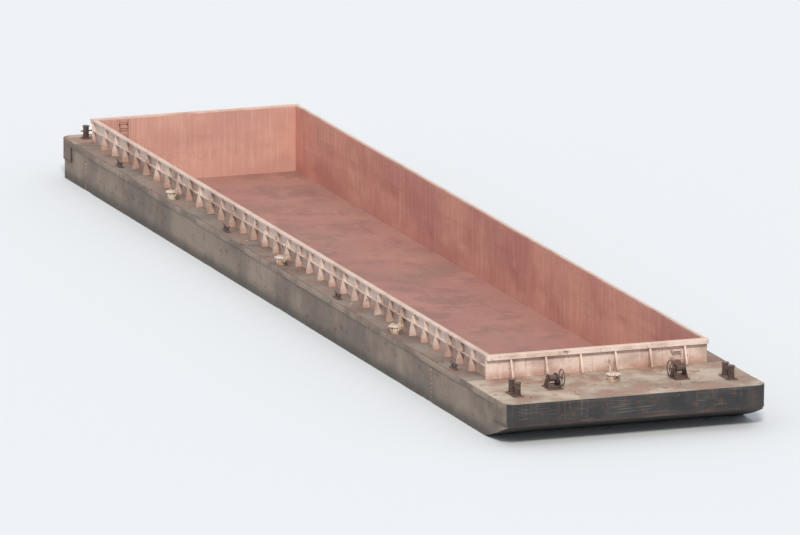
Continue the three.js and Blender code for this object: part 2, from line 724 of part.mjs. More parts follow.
function addFittings() {
  const seat = DEPTH + SEAM;
  const bittSolid = bitt();
  for (const [name, x, y, turn] of BITTS) {
    place(`bitt_${name}`, bittSolid, fittingPaint, [x, y, seat], turn);
  }
  const kevelSolid = kevel();
  for (const [number, x] of KEVELS) {
    place(`kevel_port_${number}`, kevelSolid, fittingPaint, [x, KEVEL_Y, seat]);
    place(`kevel_starboard_${number}`, kevelSolid, fittingPaint, [x, -KEVEL_Y, seat]);
  }
  const trunk = hatchTrunk();
  const lid = hatchLid();
  for (const [name, x, y, turn] of HATCHES) {
    place(`hatch_trunk_${name}`, trunk, deckPaint, [x, y, seat], turn);
    place(`hatch_lid_${name}`, lid, lidPaint, [x, y, seat], turn);
  }
  const frame = winchFrame();
  const drum = winchDrum();
  for (const [name, x, y, turn] of WINCHES) {
    place(`winch_frame_${name}`, frame, fittingPaint, [x, y, seat], turn);
    place(`winch_drum_${name}`, drum, wireSteel, [x, y, seat], turn);
  }
  const ladder = hopperLadder();
  place("ladder_bow", ladder, fittingPaint, [HOPPER_FORE, 0, 0]);
  place("ladder_stern", ladder, fittingPaint, [HOPPER_AFT, 0, 0], Math.PI);
}

addHull();
addHeadlogsAndRails();
addHopper();
addCoamings();
addFittings();

export default barge;
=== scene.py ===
"""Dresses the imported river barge: dented plating, weathered paint, deck fittings, and the view of it."""
import json
import math

import bmesh
import bpy
import numpy as np
from mathutils import Matrix, Vector


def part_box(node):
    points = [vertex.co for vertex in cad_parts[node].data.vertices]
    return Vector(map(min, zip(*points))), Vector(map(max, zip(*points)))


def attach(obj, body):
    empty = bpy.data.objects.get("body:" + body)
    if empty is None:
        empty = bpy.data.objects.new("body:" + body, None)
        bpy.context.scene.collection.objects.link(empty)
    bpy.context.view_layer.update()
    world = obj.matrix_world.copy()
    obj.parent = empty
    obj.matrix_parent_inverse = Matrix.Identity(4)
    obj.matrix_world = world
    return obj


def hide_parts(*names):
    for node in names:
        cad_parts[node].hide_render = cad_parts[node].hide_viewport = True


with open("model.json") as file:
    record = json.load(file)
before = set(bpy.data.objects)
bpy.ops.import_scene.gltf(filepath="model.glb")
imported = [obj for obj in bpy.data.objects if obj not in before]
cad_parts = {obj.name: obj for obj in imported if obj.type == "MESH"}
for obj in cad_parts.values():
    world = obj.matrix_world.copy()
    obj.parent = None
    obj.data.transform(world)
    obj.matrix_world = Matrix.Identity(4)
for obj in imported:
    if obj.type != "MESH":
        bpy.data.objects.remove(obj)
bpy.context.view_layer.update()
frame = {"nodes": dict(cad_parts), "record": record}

# One full-size metre, in metres of the half-size model
M = 0.5

QUARTER = math.pi / 2
HERE = Matrix.Identity(4)
SIDES = {"port": 1, "starboard": -1}
ENDS = {"bow": 1, "stern": -1}

# Sizes read from the frame
HULL_LOW, HULL_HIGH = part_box("wing_tank_port")
BOTTOM_LOW, BOTTOM_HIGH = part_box("double_bottom")
RAKE_LOW, RAKE_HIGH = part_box("bow_rake")
STERN_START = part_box("stern_tank")[1].x
LOG_LOW, LOG_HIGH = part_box("headlog_bow")
SIDE_DECK_LOW, SIDE_DECK_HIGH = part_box("deck_port")
FLOOR_LOW, FLOOR_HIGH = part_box("hopper_floor")
WALL_LOW, WALL_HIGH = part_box("hopper_side_port")
FORE_WALL_LOW, FORE_WALL_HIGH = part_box("hopper_end_bow")
AFT_WALL_LOW, AFT_WALL_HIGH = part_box("hopper_end_stern")
RAIL_LOW, RAIL_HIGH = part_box("rub_rail_port")
COAMING_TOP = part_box("coaming_port")[1].z
DECK_Z = SIDE_DECK_HIGH.z
HULL_Y = SIDE_DECK_HIGH.y
HULL_END = RAKE_HIGH.x

# Sizes shared with the part's source
BILGE_R = 0.3 * M
TRANSOM_R = 0.5 * M
CORNER_R = 0.45 * M
RAKE_START = 22.5 * M
SEAT_GAP = 0.0004

# The water's level, and the spacing of the frames that the plating buckles between
FREEBOARD = 1.9 * M
WATER_Z = DECK_Z - FREEBOARD
FRAME_PITCH = 0.6 * M

# The photograph's viewing angle, and how far a long lens stands off
VIEW_AZIMUTH = math.radians(70.2)
VIEW_ELEVATION = math.radians(12.3)
VIEW_DISTANCE = 319.0
VIEW_WIDTH = 17.9
VIEW_TARGET = Vector((0, 0, 0.97))
SENSOR = 36.0


# Materials


def linear(red, green, blue):
    """A screen colour, 0 to 255, as Blender's linear colour."""
    channels = [c / 255 for c in (red, green, blue)]
    curved = [c / 12.92 if c <= 0.04045 else ((c + 0.055) / 1.055) ** 2.4 for c in channels]
    return (*curved, 1.0)


RUST = linear(112, 66, 46)
DARK_RUST = linear(70, 46, 38)
RUST_RUNS = linear(168, 116, 92)
ORE_DUST = linear(170, 122, 106)
ORE_RED = linear(208, 150, 134)
# Deep ore stain, also used as painted shade at the foot of the hopper's walls
DEEP_ORE_AND_SHADE = linear(184, 124, 114)
ORE_PALE = linear(218, 176, 156)
ORE_BLEACHED = linear(180, 158, 144)
ORE_FLOOR = linear(134, 101, 92)
ORE_KHAKI = linear(152, 118, 98)
CREAM = linear(216, 196, 184)
CREAM_GRIME = linear(174, 148, 134)
CAP_PALE = linear(210, 178, 158)
SIDE_PAINT = linear(142, 126, 112)
SIDE_GRIME = linear(106, 94, 84)
SIDE_SEAM = linear(84, 72, 64)
WATER_STAIN = linear(64, 60, 54)
BOTTOM_COAT = linear(66, 50, 44)
GROWTH = linear(82, 84, 62)
# Dark tar of the ends, which also serves as painted shade and reflection under the raked bow
TAR_AND_SHADE = linear(32, 36, 39)
WORN_TAR_AND_SHADE = linear(52, 51, 50)
TAR_RUNS = linear(110, 82, 70)
BARE_STEEL = linear(132, 124, 116)
SIDE_DECK_PAINT = linear(146, 134, 124)
SIDE_DECK_GRIME = linear(112, 100, 92)
END_DECK_PAINT = linear(188, 172, 154)
END_DECK_GRIME = linear(146, 126, 110)
DECK_DAMP = linear(104, 84, 74)
FITTING_PAINT = linear(72, 64, 60)
HATCH_PAINT = linear(196, 176, 154)
HATCH_GRIME = linear(152, 130, 112)
FLOOR_PALE = linear(214, 216, 218)

# Length of the welded plates, and their width on the sides, the decks and the hopper
PLATE_LENGTH = 3.0
SIDE_PLATE = 0.62
DECK_PLATE = 1.2
HOPPER_PLATE = 0.88

# Below the deck: where runs and scuffs end, and where each is full
RUN_END = 0.8
RUN_FULL = 0.1
SCUFF_FULL = 0.5

# Above the water: where its stain ends and where it is full, and how much the line wavers
STAIN_END = 0.42
STAIN_FULL = 0.14
WAVER = 0.16


class Paint:
    """One material's nodes: colour is the coat so far, and masks are sockets that run from 0 to 1."""

    def __init__(self, name, roughness=0.7):
        self.material = bpy.data.materials.new(name)
        self.material.use_nodes = True
        self.tree = self.material.node_tree
        self.shader = self.tree.nodes["Principled BSDF"]
        self.shader.inputs["Roughness"].default_value = roughness
        self.position = self.add("ShaderNodeTexCoord").outputs["Object"]
        self.normal = self.add("ShaderNodeNewGeometry").outputs["Normal"]
        self.colour = None

    def add(self, kind, inputs=None, **settings):
        node = self.tree.nodes.new(kind)
        for key, value in settings.items():
            setattr(node, key, value)
        for key, value in (inputs or {}).items():
            self.feed(node.inputs[key], value)
        return node

    def feed(self, socket, value):
        if isinstance(value, bpy.types.NodeSocket):
            self.tree.links.new(value, socket)
        else:
            socket.default_value = value

    def vector(self, operation, a, b):
        return self.add("ShaderNodeVectorMath", {0: a, 1: b}, operation=operation)

    def calc(self, operation, a, b=0.0):
        return self.add("ShaderNodeMath", {0: a, 1: b}, operation=operation).outputs[0]

    def both(self, a, b):
        return self.calc("MULTIPLY", a, b)

    def axis(self, letter):
        return self.add("ShaderNodeSeparateXYZ", {0: self.position}).outputs[letter]

    def facing(self, letter):
        return self.add("ShaderNodeSeparateXYZ", {0: self.normal}).outputs[letter]

    def step(self, value, low, high):
        """0 up to low and 1 from high on, smooth between; low may be the higher of the two."""
        inputs = {"Value": value, "From Min": low, "From Max": high}
        return self.add("ShaderNodeMapRange", inputs, interpolation_type="SMOOTHSTEP").outputs["Result"]

    def span(self, value, low, high):
        """A mask spread over low to high."""
        inputs = {"Value": value, "To Min": low, "To Max": high}
        return self.add("ShaderNodeMapRange", inputs).outputs["Result"]

    def noise(self, scale, detail=5.0, stretch=(1, 1, 1), roughness=0.55):
        place = self.vector("MULTIPLY", self.position, stretch).outputs[0]
        inputs = {"Vector": place, "Scale": scale, "Detail": detail, "Roughness": roughness}
        return self.add("ShaderNodeTexNoise", inputs).outputs["Fac"]

    def blot(self, low, high, scale, detail=5.0, stretch=(1, 1, 1), roughness=0.55):
        """Patches of noise, 0 where it is under low and 1 where it is over high."""
        return self.step(self.noise(scale, detail, stretch, roughness), low, high)

    def plates(self, axes, width, seam=0.004):
        """Random tone of each welded plate, and the seams between them."""
        flat = self.add("ShaderNodeCombineXYZ", {i: self.axis(a) for i, a in enumerate(axes)})
        inputs = {
            "Vector": flat.outputs[0],
            "Color1": (0, 0, 0, 1),
            "Color2": (1, 1, 1, 1),
            "Scale": 1.0,
            "Mortar Size": seam,
            "Mortar Smooth": 0.6,
            "Brick Width": PLATE_LENGTH,
            "Row Height": width,
        }
        bricks = self.add("ShaderNodeTexBrick", inputs)
        return bricks.outputs["Color"], bricks.outputs["Fac"]

    def edges(self, radius):
        """1 near edges, 0 on open faces."""
        bevel = self.add("ShaderNodeBevel", {"Radius": radius}, samples=4)
        bend = self.vector("DOT_PRODUCT", bevel.outputs[0], self.normal).outputs["Value"]
        return self.step(bend, 0.995, 0.9)

    def faces(self, letter, share):
        """1 where the surface faces along an axis by that share or more, with a hand-painted edge."""
        wavy = self.both(self.noise(5.0), 0.08)
        turned = self.calc("ADD", self.calc("ABSOLUTE", self.facing(letter)), wavy)
        return self.step(turned, share + 0.03, share + 0.05)

    def streaks(self, fineness=22.0):
        """Runs of rust and dirt down a wall."""
        narrow = self.blot(0.5, 0.72, 1.0, 4.0, (fineness, fineness, 0.35))
        wide = self.blot(0.4, 0.62, 1.0, 2.0, (1.3, 1.3, 0.2))
        return self.both(narrow, wide)

    def mix(self, mask, below, above):
        node = self.add("ShaderNodeMix", data_type="RGBA")
        sockets = [s for s in node.inputs if s.enabled]
        for socket, value in zip(sockets, (mask, below, above)):
            self.feed(socket, value)
        return next(s for s in node.outputs if s.enabled)

    def lay(self, above, mask, strength=1.0):
        """Lays a colour over the coat where the mask is 1."""
        if strength < 1:
            mask = self.both(mask, strength)
        self.colour = self.mix(mask, self.colour, above)

    def rusted(self, scale, share, strength=0.85):
        """Lays patches of rust with dark middles, and gives a mask of the middles."""
        patches = self.noise(scale, 11.0, roughness=0.74)
        core = self.step(patches, share + 0.015, share + 0.055)
        self.lay(RUST, self.step(patches, share - 0.03, share + 0.03), 0.6 * strength)
        self.lay(DARK_RUST, core, strength)
        return core

    def relief(self, *layers):
        """Bump height: the sum of masks, each times its weight."""
        height = 0.0
        for mask, weight in layers:
            height = self.calc("ADD", height, self.both(mask, weight))
        return height

    def finish(self, roughness=None, bump=None, depth=0.0, grit=0.16):
        """Joins the coat, speckled with grit, and the bump to the shader."""
        if grit:
            self.lay(DARK_RUST, self.blot(0.46, 0.66, 60.0, 7.0, roughness=0.7), grit)
        self.feed(self.shader.inputs["Base Color"], self.colour)
        if roughness is not None:
            self.feed(self.shader.inputs["Roughness"], roughness)
        if bump is not None:
            node = self.add("ShaderNodeBump", {"Height": bump, "Distance": depth})
            self.feed(self.shader.inputs["Normal"], node.outputs["Normal"])
        return self.material


def sunken_coat(p, seam):
    """Old coat, growth, rust and grounding scrapes under water; gives a mask of where it scales."""
    p.colour = BOTTOM_COAT
    p.lay(GROWTH, p.blot(0.46, 0.6, 1.3, 9.0, roughness=0.68), 0.6)
    p.lay(DARK_RUST, seam, 0.5)
    scale = p.rusted(2.4, 0.55)
    p.lay(BARE_STEEL, p.blot(0.58, 0.68, 1.0, 6.0, (0.5, 14.0, 14.0)), 0.45)
    return scale


def hull_paint(name, axes):
    """Khaki sides, tar on the two ends that also paints the shade under the raked bow, and the sunken coat up
    to a wavy waterline.
    """
    p = Paint(name)
    height = p.axis("Z")
    tint, seam = p.plates(axes, SIDE_PLATE)
    blotches = p.blot(0.38, 0.62, 0.5, 4.0)
    p.colour = p.mix(blotches, SIDE_PAINT, SIDE_GRIME)
    p.lay(SIDE_GRIME, tint, 0.25)
    p.lay(SIDE_SEAM, seam, 0.45)
    # The faces that don't face sideways get tar: the two ends, and the underside of the raked bow, where the
    # dark tar also paints the shade and the dark water's reflection under the overhang.
    sideways = p.faces("Y", 0.68)
    p.colour = p.mix(sideways, p.mix(blotches, TAR_AND_SHADE, WORN_TAR_AND_SHADE), p.colour)
    runs = p.both(p.streaks(), p.step(height, DECK_Z - RUN_END, DECK_Z - RUN_FULL))
    p.lay(p.mix(sideways, TAR_RUNS, ORE_DUST), runs, 0.6)
    scuffs = p.both(p.blot(0.58, 0.68, 1.0, 6.0, (0.7, 0.7, 40.0)), p.blot(0.48, 0.62, 0.55, 2.0))
    p.lay(BARE_STEEL, p.both(scuffs, p.step(height, DECK_Z - RUN_END, DECK_Z - SCUFF_FULL)), 0.5)
    rust = p.rusted(4.5, 0.6)
    line = p.calc("ADD", height, p.both(p.noise(2.2, 4.0), WAVER))
    p.lay(WATER_STAIN, p.step(line, WATER_Z + STAIN_END, WATER_Z + STAIN_FULL), 0.8)
    dry = p.colour
    scale = sunken_coat(p, seam)
    under = p.step(line, WATER_Z, WATER_Z - 0.08)
    p.colour = p.mix(under, dry, p.colour)
    rust = p.calc("MAXIMUM", rust, p.both(scale, under))
    rough = p.span(p.calc("MAXIMUM", rust, p.noise(3.0)), 0.5, 0.85)
    relief = p.relief((rust, -0.5), (p.noise(45.0, 3.0), 0.4), (seam, 0.9))
    return p.finish(rough, relief, depth=0.0025)


def log_paint():
    """Tar with rubs on the faces that meet other barges, and the sides' paint round the corners."""
    p = Paint("headlog_steel")
    height = p.axis("Z")
    forward = p.faces("X", 0.6)
    blotches = p.blot(0.4, 0.62, 1.2)
    sides = p.mix(blotches, SIDE_PAINT, SIDE_GRIME)
    p.colour = p.mix(forward, sides, p.mix(blotches, TAR_AND_SHADE, WORN_TAR_AND_SHADE))
    bare = p.both(p.blot(0.54, 0.68, 1.0, 7.0, (1.4, 1.4, 30.0)), p.blot(0.42, 0.6, 0.8, 3.0))
    p.lay(BARE_STEEL, bare, 0.3)
    rust = p.rusted(5.0, 0.58, 0.7)
    p.lay(DARK_RUST, p.step(height, LOG_LOW.z + 0.12, LOG_LOW.z), 0.5)
    runs = p.both(p.streaks(26.0), p.step(height, LOG_LOW.z, LOG_HIGH.z))
    p.lay(p.mix(forward, ORE_DUST, TAR_RUNS), runs, 0.5)
    p.lay(TAR_RUNS, p.edges(0.012), 0.6)
    relief = p.relief((rust, -0.6), (p.noise(40.0, 4.0), 0.5), (bare, -0.3))
    return p.finish(p.span(bare, 0.75, 0.5), relief, depth=0.003)


def deck_paint(name, paint, grime, dusty):
    """Trodden paint with seams, ore dust, rust and damp patches."""
    p = Paint(name, 0.8)
    tint, seam = p.plates("XY", DECK_PLATE)
    p.colour = p.mix(p.blot(0.38, 0.62, 0.8, 7.0), paint, grime)
    p.lay(grime, tint, 0.18)
    p.lay(DARK_RUST, seam, 0.35)
    p.lay(ORE_DUST, p.blot(0.42, 0.66, 1.6, 8.0), dusty)
    rust = p.rusted(3.4, 0.6)
    p.lay(DARK_RUST, p.blot(0.54, 0.66, 20.0, 8.0, roughness=0.7), 0.3)
    damp = p.blot(0.6, 0.66, 0.9, 3.0, (1, 1.6, 1))
    p.lay(DECK_DAMP, damp, 0.35)
    relief = p.relief((p.noise(70.0, 2.0), 0.5), (rust, -0.5), (seam, 0.9))
    return p.finish(p.span(damp, 0.85, 0.45), relief, depth=0.0022)


def ore_stained(p):
    """Dust in runs over rusty plate, darker on the floor, with painted shade at the foot of the walls; gives
    the bump height.
    """
    flat = p.step(p.facing("Z"), 0.5, 0.8)
    endwise = p.step(p.calc("ABSOLUTE", p.facing("X")), 0.5, 0.8)
    p.colour = p.mix(p.blot(0.36, 0.64, 0.6), ORE_RED, DEEP_ORE_AND_SHADE)
    p.lay(ORE_PALE, p.blot(0.44, 0.68, 1.0, 7.0, (15.0, 15.0, 0.7), 0.62), 0.42)
    p.lay(DEEP_ORE_AND_SHADE, p.blot(0.52, 0.7, 1.0, 7.0, (9.0, 9.0, 0.4), 0.62), 0.5)
    p.lay(DEEP_ORE_AND_SHADE, p.blot(0.5, 0.62, 7.0, 10.0, roughness=0.72), 0.3)
    # Painted shade: darker towards the floor, in the corner where the walls meet it
    p.lay(DEEP_ORE_AND_SHADE, p.step(p.axis("Z"), FLOOR_HIGH.z + 0.5, FLOOR_HIGH.z), 0.35)
    p.lay(ORE_BLEACHED, endwise, 0.3)
    drift = p.blot(0.46, 0.59, 0.9, 11.0, roughness=0.68)
    p.lay(ORE_FLOOR, p.both(flat, p.span(drift, 0.55, 0.85)))
    p.lay(ORE_KHAKI, p.both(flat, p.blot(0.48, 0.58, 0.35, 11.0, roughness=0.66)), 0.3)
    scrape = p.both(p.blot(0.57, 0.66, 1.0, 7.0, (0.8, 26.0, 26.0)), p.blot(0.44, 0.58, 0.7, 4.0))
    p.lay(BARE_STEEL, scrape, 0.4)
    return p.relief((p.noise(30.0, 6.0), 0.6), (scrape, -0.4))


def hopper_paint(name, axes):
    p = Paint(name, 0.82)
    relief = ore_stained(p)
    tint, seam = p.plates(axes, HOPPER_PLATE, 0.006)
    p.lay(DEEP_ORE_AND_SHADE, tint, 0.18)
    p.lay(ORE_PALE, seam, 0.35)
    return p.finish(bump=p.calc("ADD", relief, seam), depth=0.003)


def coaming_paint():
    """Cream outside and on top, and the hopper's ore on the faces towards it."""
    p = Paint("coaming_paint")
    height = p.axis("Z")
    inside = p.step(height, COAMING_TOP - 0.02, COAMING_TOP - 0.05)
    middle_x = (FORE_WALL_LOW.x + AFT_WALL_HIGH.x) / 2
    for letter, centre, half in (("X", middle_x, FORE_WALL_LOW.x - middle_x), ("Y", 0.0, WALL_LOW.y)):
        off = p.calc("ABSOLUTE", p.calc("SUBTRACT", p.axis(letter), centre))
        inside = p.both(inside, p.step(off, half + 0.003, half + 0.001))
    red_relief = ore_stained(p)
    red = p.colour
    p.colour = p.mix(p.blot(0.42, 0.68, 1.1, 6.0), CREAM, CREAM_GRIME)
    p.lay(ORE_DUST, p.both(p.step(height, DECK_Z + 0.22, DECK_Z), p.blot(0.3, 0.6, 2.4)), 0.75)
    p.lay(RUST_RUNS, p.blot(0.56, 0.74, 1.0, 5.0, (16.0, 16.0, 0.9)), 0.55)
    rust = p.rusted(6.0, 0.61)
    p.lay(RUST, p.both(p.edges(0.008), p.blot(0.42, 0.6, 6.0, 4.0)), 0.65)
    p.lay(CAP_PALE, p.step(height, COAMING_TOP - 0.03, COAMING_TOP - 0.01), 0.6)
    p.lay(red, inside)
    relief = p.relief((rust, -0.6), (p.noise(38.0, 4.0), 0.5), (p.both(red_relief, inside), 0.6))
    return p.finish(p.span(rust, 0.62, 0.85), relief, depth=0.0018)


def worn_steel(name, colour, grime, wear, rust_share=0.57, roughness=0.6, fine=1.0):
    """Painted steel of a small thing: rusty, dusty on top and worn at its edges."""
    p = Paint(name, roughness)
    p.colour = p.mix(p.blot(0.4, 0.62, 4.0 * fine, 7.0), colour, grime)
    rust = p.rusted(11.0 * fine, rust_share)
    p.lay(ORE_DUST, p.both(p.step(p.facing("Z"), 0.4, 0.95), p.blot(0.4, 0.6, 6.0 * fine)), 0.4)
    p.lay(wear, p.edges(0.006), 0.75)
    relief = p.relief((rust, -0.6), (p.noise(80.0, 3.0), 0.4))
    return p.finish(p.span(rust, roughness - 0.1, 0.85), relief, depth=0.0012)


# The look of each material slot, and of the pieces that differ within a slot
LOOKS = {
    "hull": hull_paint("hull_paint", "XZ"),
    "headlog": log_paint(),
    "deck": deck_paint("side_deck_paint", SIDE_DECK_PAINT, SIDE_DECK_GRIME, 0.35),
    "hopper": hopper_paint("hopper_side_plate", "XZ"),
    "coaming": coaming_paint(),
    "fitting": worn_steel("fitting_steel", FITTING_PAINT, DARK_RUST, BARE_STEEL),
    "hatch_trunk": worn_steel("hatch_paint", HATCH_PAINT, HATCH_GRIME, RUST, 0.58, 0.7),
    "hatch_lid": worn_steel("lid_paint", CREAM, HATCH_PAINT, RUST, 0.59, 0.65),
    "winch_drum": worn_steel("winch_steel", FITTING_PAINT, DARK_RUST, BARE_STEEL),
    "ladder": worn_steel("ladder_steel", ORE_FLOOR, DARK_RUST, ORE_PALE, 0.55, 0.75),
}
MARK_PAINT = worn_steel("mark_paint", CREAM, HATCH_GRIME, RUST, 0.62, 0.7, 2.0)
END_SHELL = hull_paint("end_shell_paint", "YZ")
END_DECK = deck_paint("end_deck_paint", END_DECK_PAINT, END_DECK_GRIME, 0.5)
HOPPER_END = hopper_paint("hopper_end_plate", "YZ")
HOPPER_FLOOR = hopper_paint("hopper_floor_plate", "XY")


# Outlines and meshes


def full(*pairs):
    """Pairs in metres of the full-size barge, as model metres."""
    return [(u * M, v * M) for u, v in pairs]


def corners(x, y):
    return [(u, v) for u in (-x, x) for v in (-y, y)]


def arc(radius, start, end, steps, x=0.0, y=0.0):
    """Points round (x, y) from one angle to another."""
    angles = [start + (end - start) * k / steps for k in range(steps + 1)]
    return [(x + radius * math.cos(a), y + radius * math.sin(a)) for a in angles]


def circle(radius, sides):
    return arc(radius, 0, 2 * math.pi, sides)[:-1]


def rounded(length, width, radius, steps=5):
    """A rectangle's outline with round corners."""
    x, y = length / 2 - radius, width / 2 - radius
    outline = []
    for i, (u, v) in enumerate(((x, y), (-x, y), (-x, -y), (x, -y))):
        outline += arc(radius, QUARTER * i, QUARTER * (i + 1), steps, u, v)
    return outline


def headed(radius, shoulder, half, foot, head_steps, foot_steps):
    """An outline once round the origin: a round head on a foot, given by its half-width and height."""
    outline = arc(radius, shoulder, math.pi - shoulder, head_steps)
    turns = [outline[-1], (-half, foot), (half, foot), outline[0]]
    for (u0, v0), (u1, v1), steps in zip(turns, turns[1:], foot_steps):
        outline += [(u0 + (u1 - u0) * k / steps, v0 + (v1 - v0) * k / steps) for k in range(1, steps + 1)]
    return outline[:-1]


def at(x, y, z, turn=0.0):
    """The place of a form, turned about its upright axis."""
    return Matrix.Translation((x, y, z)) @ Matrix.Rotation(turn, 4, "Z")


def add_object(name, data):
    piece = bpy.data.objects.new(name, data)
    bpy.context.scene.collection.objects.link(piece)
    return piece


def soften(piece, width):
    """Rounds the sharp edges of a piece or CAD node, without touching its mesh."""
    bevel = piece.modifiers.new("rounded_edges", "BEVEL")
    bevel.width = width
    bevel.segments = 2
    bevel.limit_method = "ANGLE"
    bevel.angle_limit = math.radians(35)
    bevel.harden_normals = True


# Which of an outline's two numbers and its level is x, y and z, by the axis that the level runs along
ORDER = {"x": (2, 0, 1), "y": (0, 2, 1), "z": (0, 1, 2)}
BEAD = 0.006


class Shape:
    """Points and faces gathered from simple closed forms."""

    def __init__(self):
        self.points = []
        self.faces = []

    def take(self, points, faces, matrix=HERE):
        start = len(self.points)
        self.points += [matrix @ Vector(p) for p in points]
        self.faces += [tuple(start + i for i in face) for face in faces]

    def loft(self, rings, matrix=HERE, joined=False):
        """Skins equal rings in turn, with a cap at each end unless the last ring joins the first."""
        count = len(rings[0])
        total = len(rings) * count
        faces = []
        for row in range(len(rings) if joined else len(rings) - 1):
            for i in range(count):
                a = row * count + i
                b = row * count + (i + 1) % count
                faces.append((a, b, (b + count) % total, (a + count) % total))
        if not joined:
            faces.append(tuple(range(count)))
            faces.append(tuple(range(total - count, total)))
        self.take([p for ring in rings for p in ring], faces, matrix)
        return self

    def box(self, low, high):
        (x0, y0, z0), (x1, y1, z1) = low, high
        self.plate([(x0, y0), (x1, y0), (x1, y1), (x0, y1)], z0, z1, "z")

    def turn(self, profile, sides=28, matrix=HERE, hollow=False):
        """A body turned about Z from radius and height pairs; a hollow one's profile closes on itself."""
        self.loft([[(x, y, z) for x, y in circle(r, sides)] for r, z in profile], matrix, hollow)

    def rod(self, start, end, radius, sides=12, matrix=HERE):
        self.pipe([start, end], radius, sides, matrix)

    def pipe(self, path, radius, sides=12, matrix=HERE, flat=1.0, joined=False):
        """A round or flattened tube along points; radius may be one number or one for each point."""
        path = [Vector(p) for p in path]
        radii = radius if isinstance(radius, list) else [radius] * len(path)
        side = None
        rings = []
        for i, point in enumerate(path):
            before = path[i - 1] if i or joined else point
            after = path[(i + 1) % len(path)] if i < len(path) - 1 or joined else point
            along = (after - before).normalized()
            if side is None:
                side = along.cross(Vector((0, 0, 1)))
                if side.length < 0.1:
                    side = along.cross(Vector((0, 1, 0)))
            side = (side - along * side.dot(along)).normalized()
            up = side.cross(along)
            rings.append([point + (side * (u * flat) + up * v) * radii[i] for u, v in circle(1.0, sides)])
        self.loft(rings, matrix, joined)

    def plate(self, outline, low, high, axis="y", matrix=HERE):
        """A flat outline with thickness along one axis."""
        order = ORDER[axis]
        self.loft([[[(u, v, level)[i] for i in order] for u, v in outline] for level in (low, high)], matrix)

    def base(self, length, width, height, radius):
        """A base plate with round corners; gives its height."""
        self.plate(rounded(length, width, radius), 0, height, "z")
        return height

    def bead(self, radius, height, matrix=HERE, sides=32):
        """The weld round a post's foot."""
        profile = [(radius - BEAD, height), (radius + BEAD, height), (radius, height + BEAD)]
        self.turn(profile, sides, matrix, True)

    def bolts(self, places, z, size, matrix=HERE):
        """Hexagon nuts with the ends of their bolts."""
        for x, y in places:
            place = matrix @ at(x, y, z)
            self.turn([(size, -0.001), (size, 0.6 * size), (0.8 * size, 0.8 * size)], 6, place)
            self.turn([(0.5 * size, 0), (0.5 * size, 1.15 * size), (0.35 * size, 1.3 * size)], 12, place)

    def eyed(self, outline, hole, low, high, matrix):
        """A plate round a hole at the origin; the outline goes once round it."""
        rings = []
        for u, v in outline:
            near = (u * hole / math.hypot(u, v), v * hole / math.hypot(u, v))
            rings.append([(*near, low), (u, v, low), (u, v, high), (*near, high)])
        self.loft(rings, matrix, True)

    def moved(self, place):
        other = Shape()
        other.take(self.points, self.faces, place)
        return other

    def put(self, name, slot, node=None, look=None, body="hull", bevel=0.0, sharp=35):
        """Makes the shape a closed mesh that rides on a body, in place of a CAD node if one is named."""
        mesh = bpy.data.meshes.new(name)
        mesh.from_pydata([tuple(p) for p in self.points], [], self.faces)
        work = bmesh.new()
        work.from_mesh(mesh)
        bmesh.ops.remove_doubles(work, verts=work.verts, dist=1e-5)
        bmesh.ops.recalc_face_normals(work, faces=work.faces)
        for face in work.faces:
            face.smooth = True
        work.to_mesh(mesh)
        work.free()
        mesh.set_sharp_from_angle(angle=math.radians(sharp))
        mesh.materials.append(look or LOOKS[slot])
        piece = add_object(name, mesh)
        if bevel:
            soften(piece, bevel)
        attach(piece, body)
        if node:
            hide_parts(node)


# Dents

# The stretch of hull that knocks fall on
DENTED = (-14, 12)
RAIL_DENTED = (-14, 14)

# Where knocks fall across a plate, their number, the depth of the buckling and of the deepest knock, and the
# pitch of the buckling where it isn't that of the frames
SIDE_KNOCKS = ((0.3, 1.1), 46, 0.0045, 0.02)
BILGE_KNOCKS = ((2.4, 2.9), 8, 0.003, 0.008)
BOTTOM_KNOCKS = ((-2.4, 2.4), 30, 0.003, 0.01)
END_SIDE_KNOCKS = ((0.5, 1.1), 8, 0.004, 0.018)
END_BOTTOM_KNOCKS = ((-2.8, 2.8), 14, 0.004, 0.014)
SIDE_DECK_KNOCKS = ((2.5, 2.95), 12, 0.0022, 0.004)
END_DECK_KNOCKS = ((-2.8, 2.8), 10, 0.0025, 0.005)
HOPPER_SIDE_KNOCKS = ((0.3, 1.2), 60, 0.006, 0.022)
HOPPER_END_KNOCKS = ((0.3, 1.2), 12, 0.006, 0.02)
FLOOR_KNOCKS = ((-2.3, 2.3), 120, 0.004, 0.02)
LOG_KNOCKS = ((LOG_LOW.z + 0.03, LOG_HIGH.z - 0.05), 40, 0.0015, 0.012, 0.5)
RAIL_KNOCKS = ((RAIL_LOW.z, RAIL_HIGH.z), 36, 0.0008, 0.006, 1.5)

# Least and greatest half-size of a knock along the hull and across the plate
KNOCK_LENGTH = (0.1, 0.42)
KNOCK_WIDTH = (0.08, 0.25)

# Share of the buckling that is the same between all frames, and the waves that vary the rest
EVEN_BUCKLE = 0.35
WAVES = 7
WAVE_LENGTH = 2.2


def waves(seed):
    """A smooth field from 0 to 1, the sum of waves in random directions."""
    rng = np.random.default_rng(seed)
    angles = rng.uniform(0, 2 * math.pi, WAVES)
    phases = rng.uniform(0, 2 * math.pi, WAVES)
    pitches = 2 * math.pi / (WAVE_LENGTH * rng.uniform(0.7, 2.2, WAVES))

    def field(u, v):
        crests = zip(pitches, angles, phases)
        total = sum(np.cos(k * (u * math.cos(a) + v * math.sin(a)) + p) for k, a, p in crests)
        return np.clip(0.5 + total / WAVES, 0, 1)

    return field


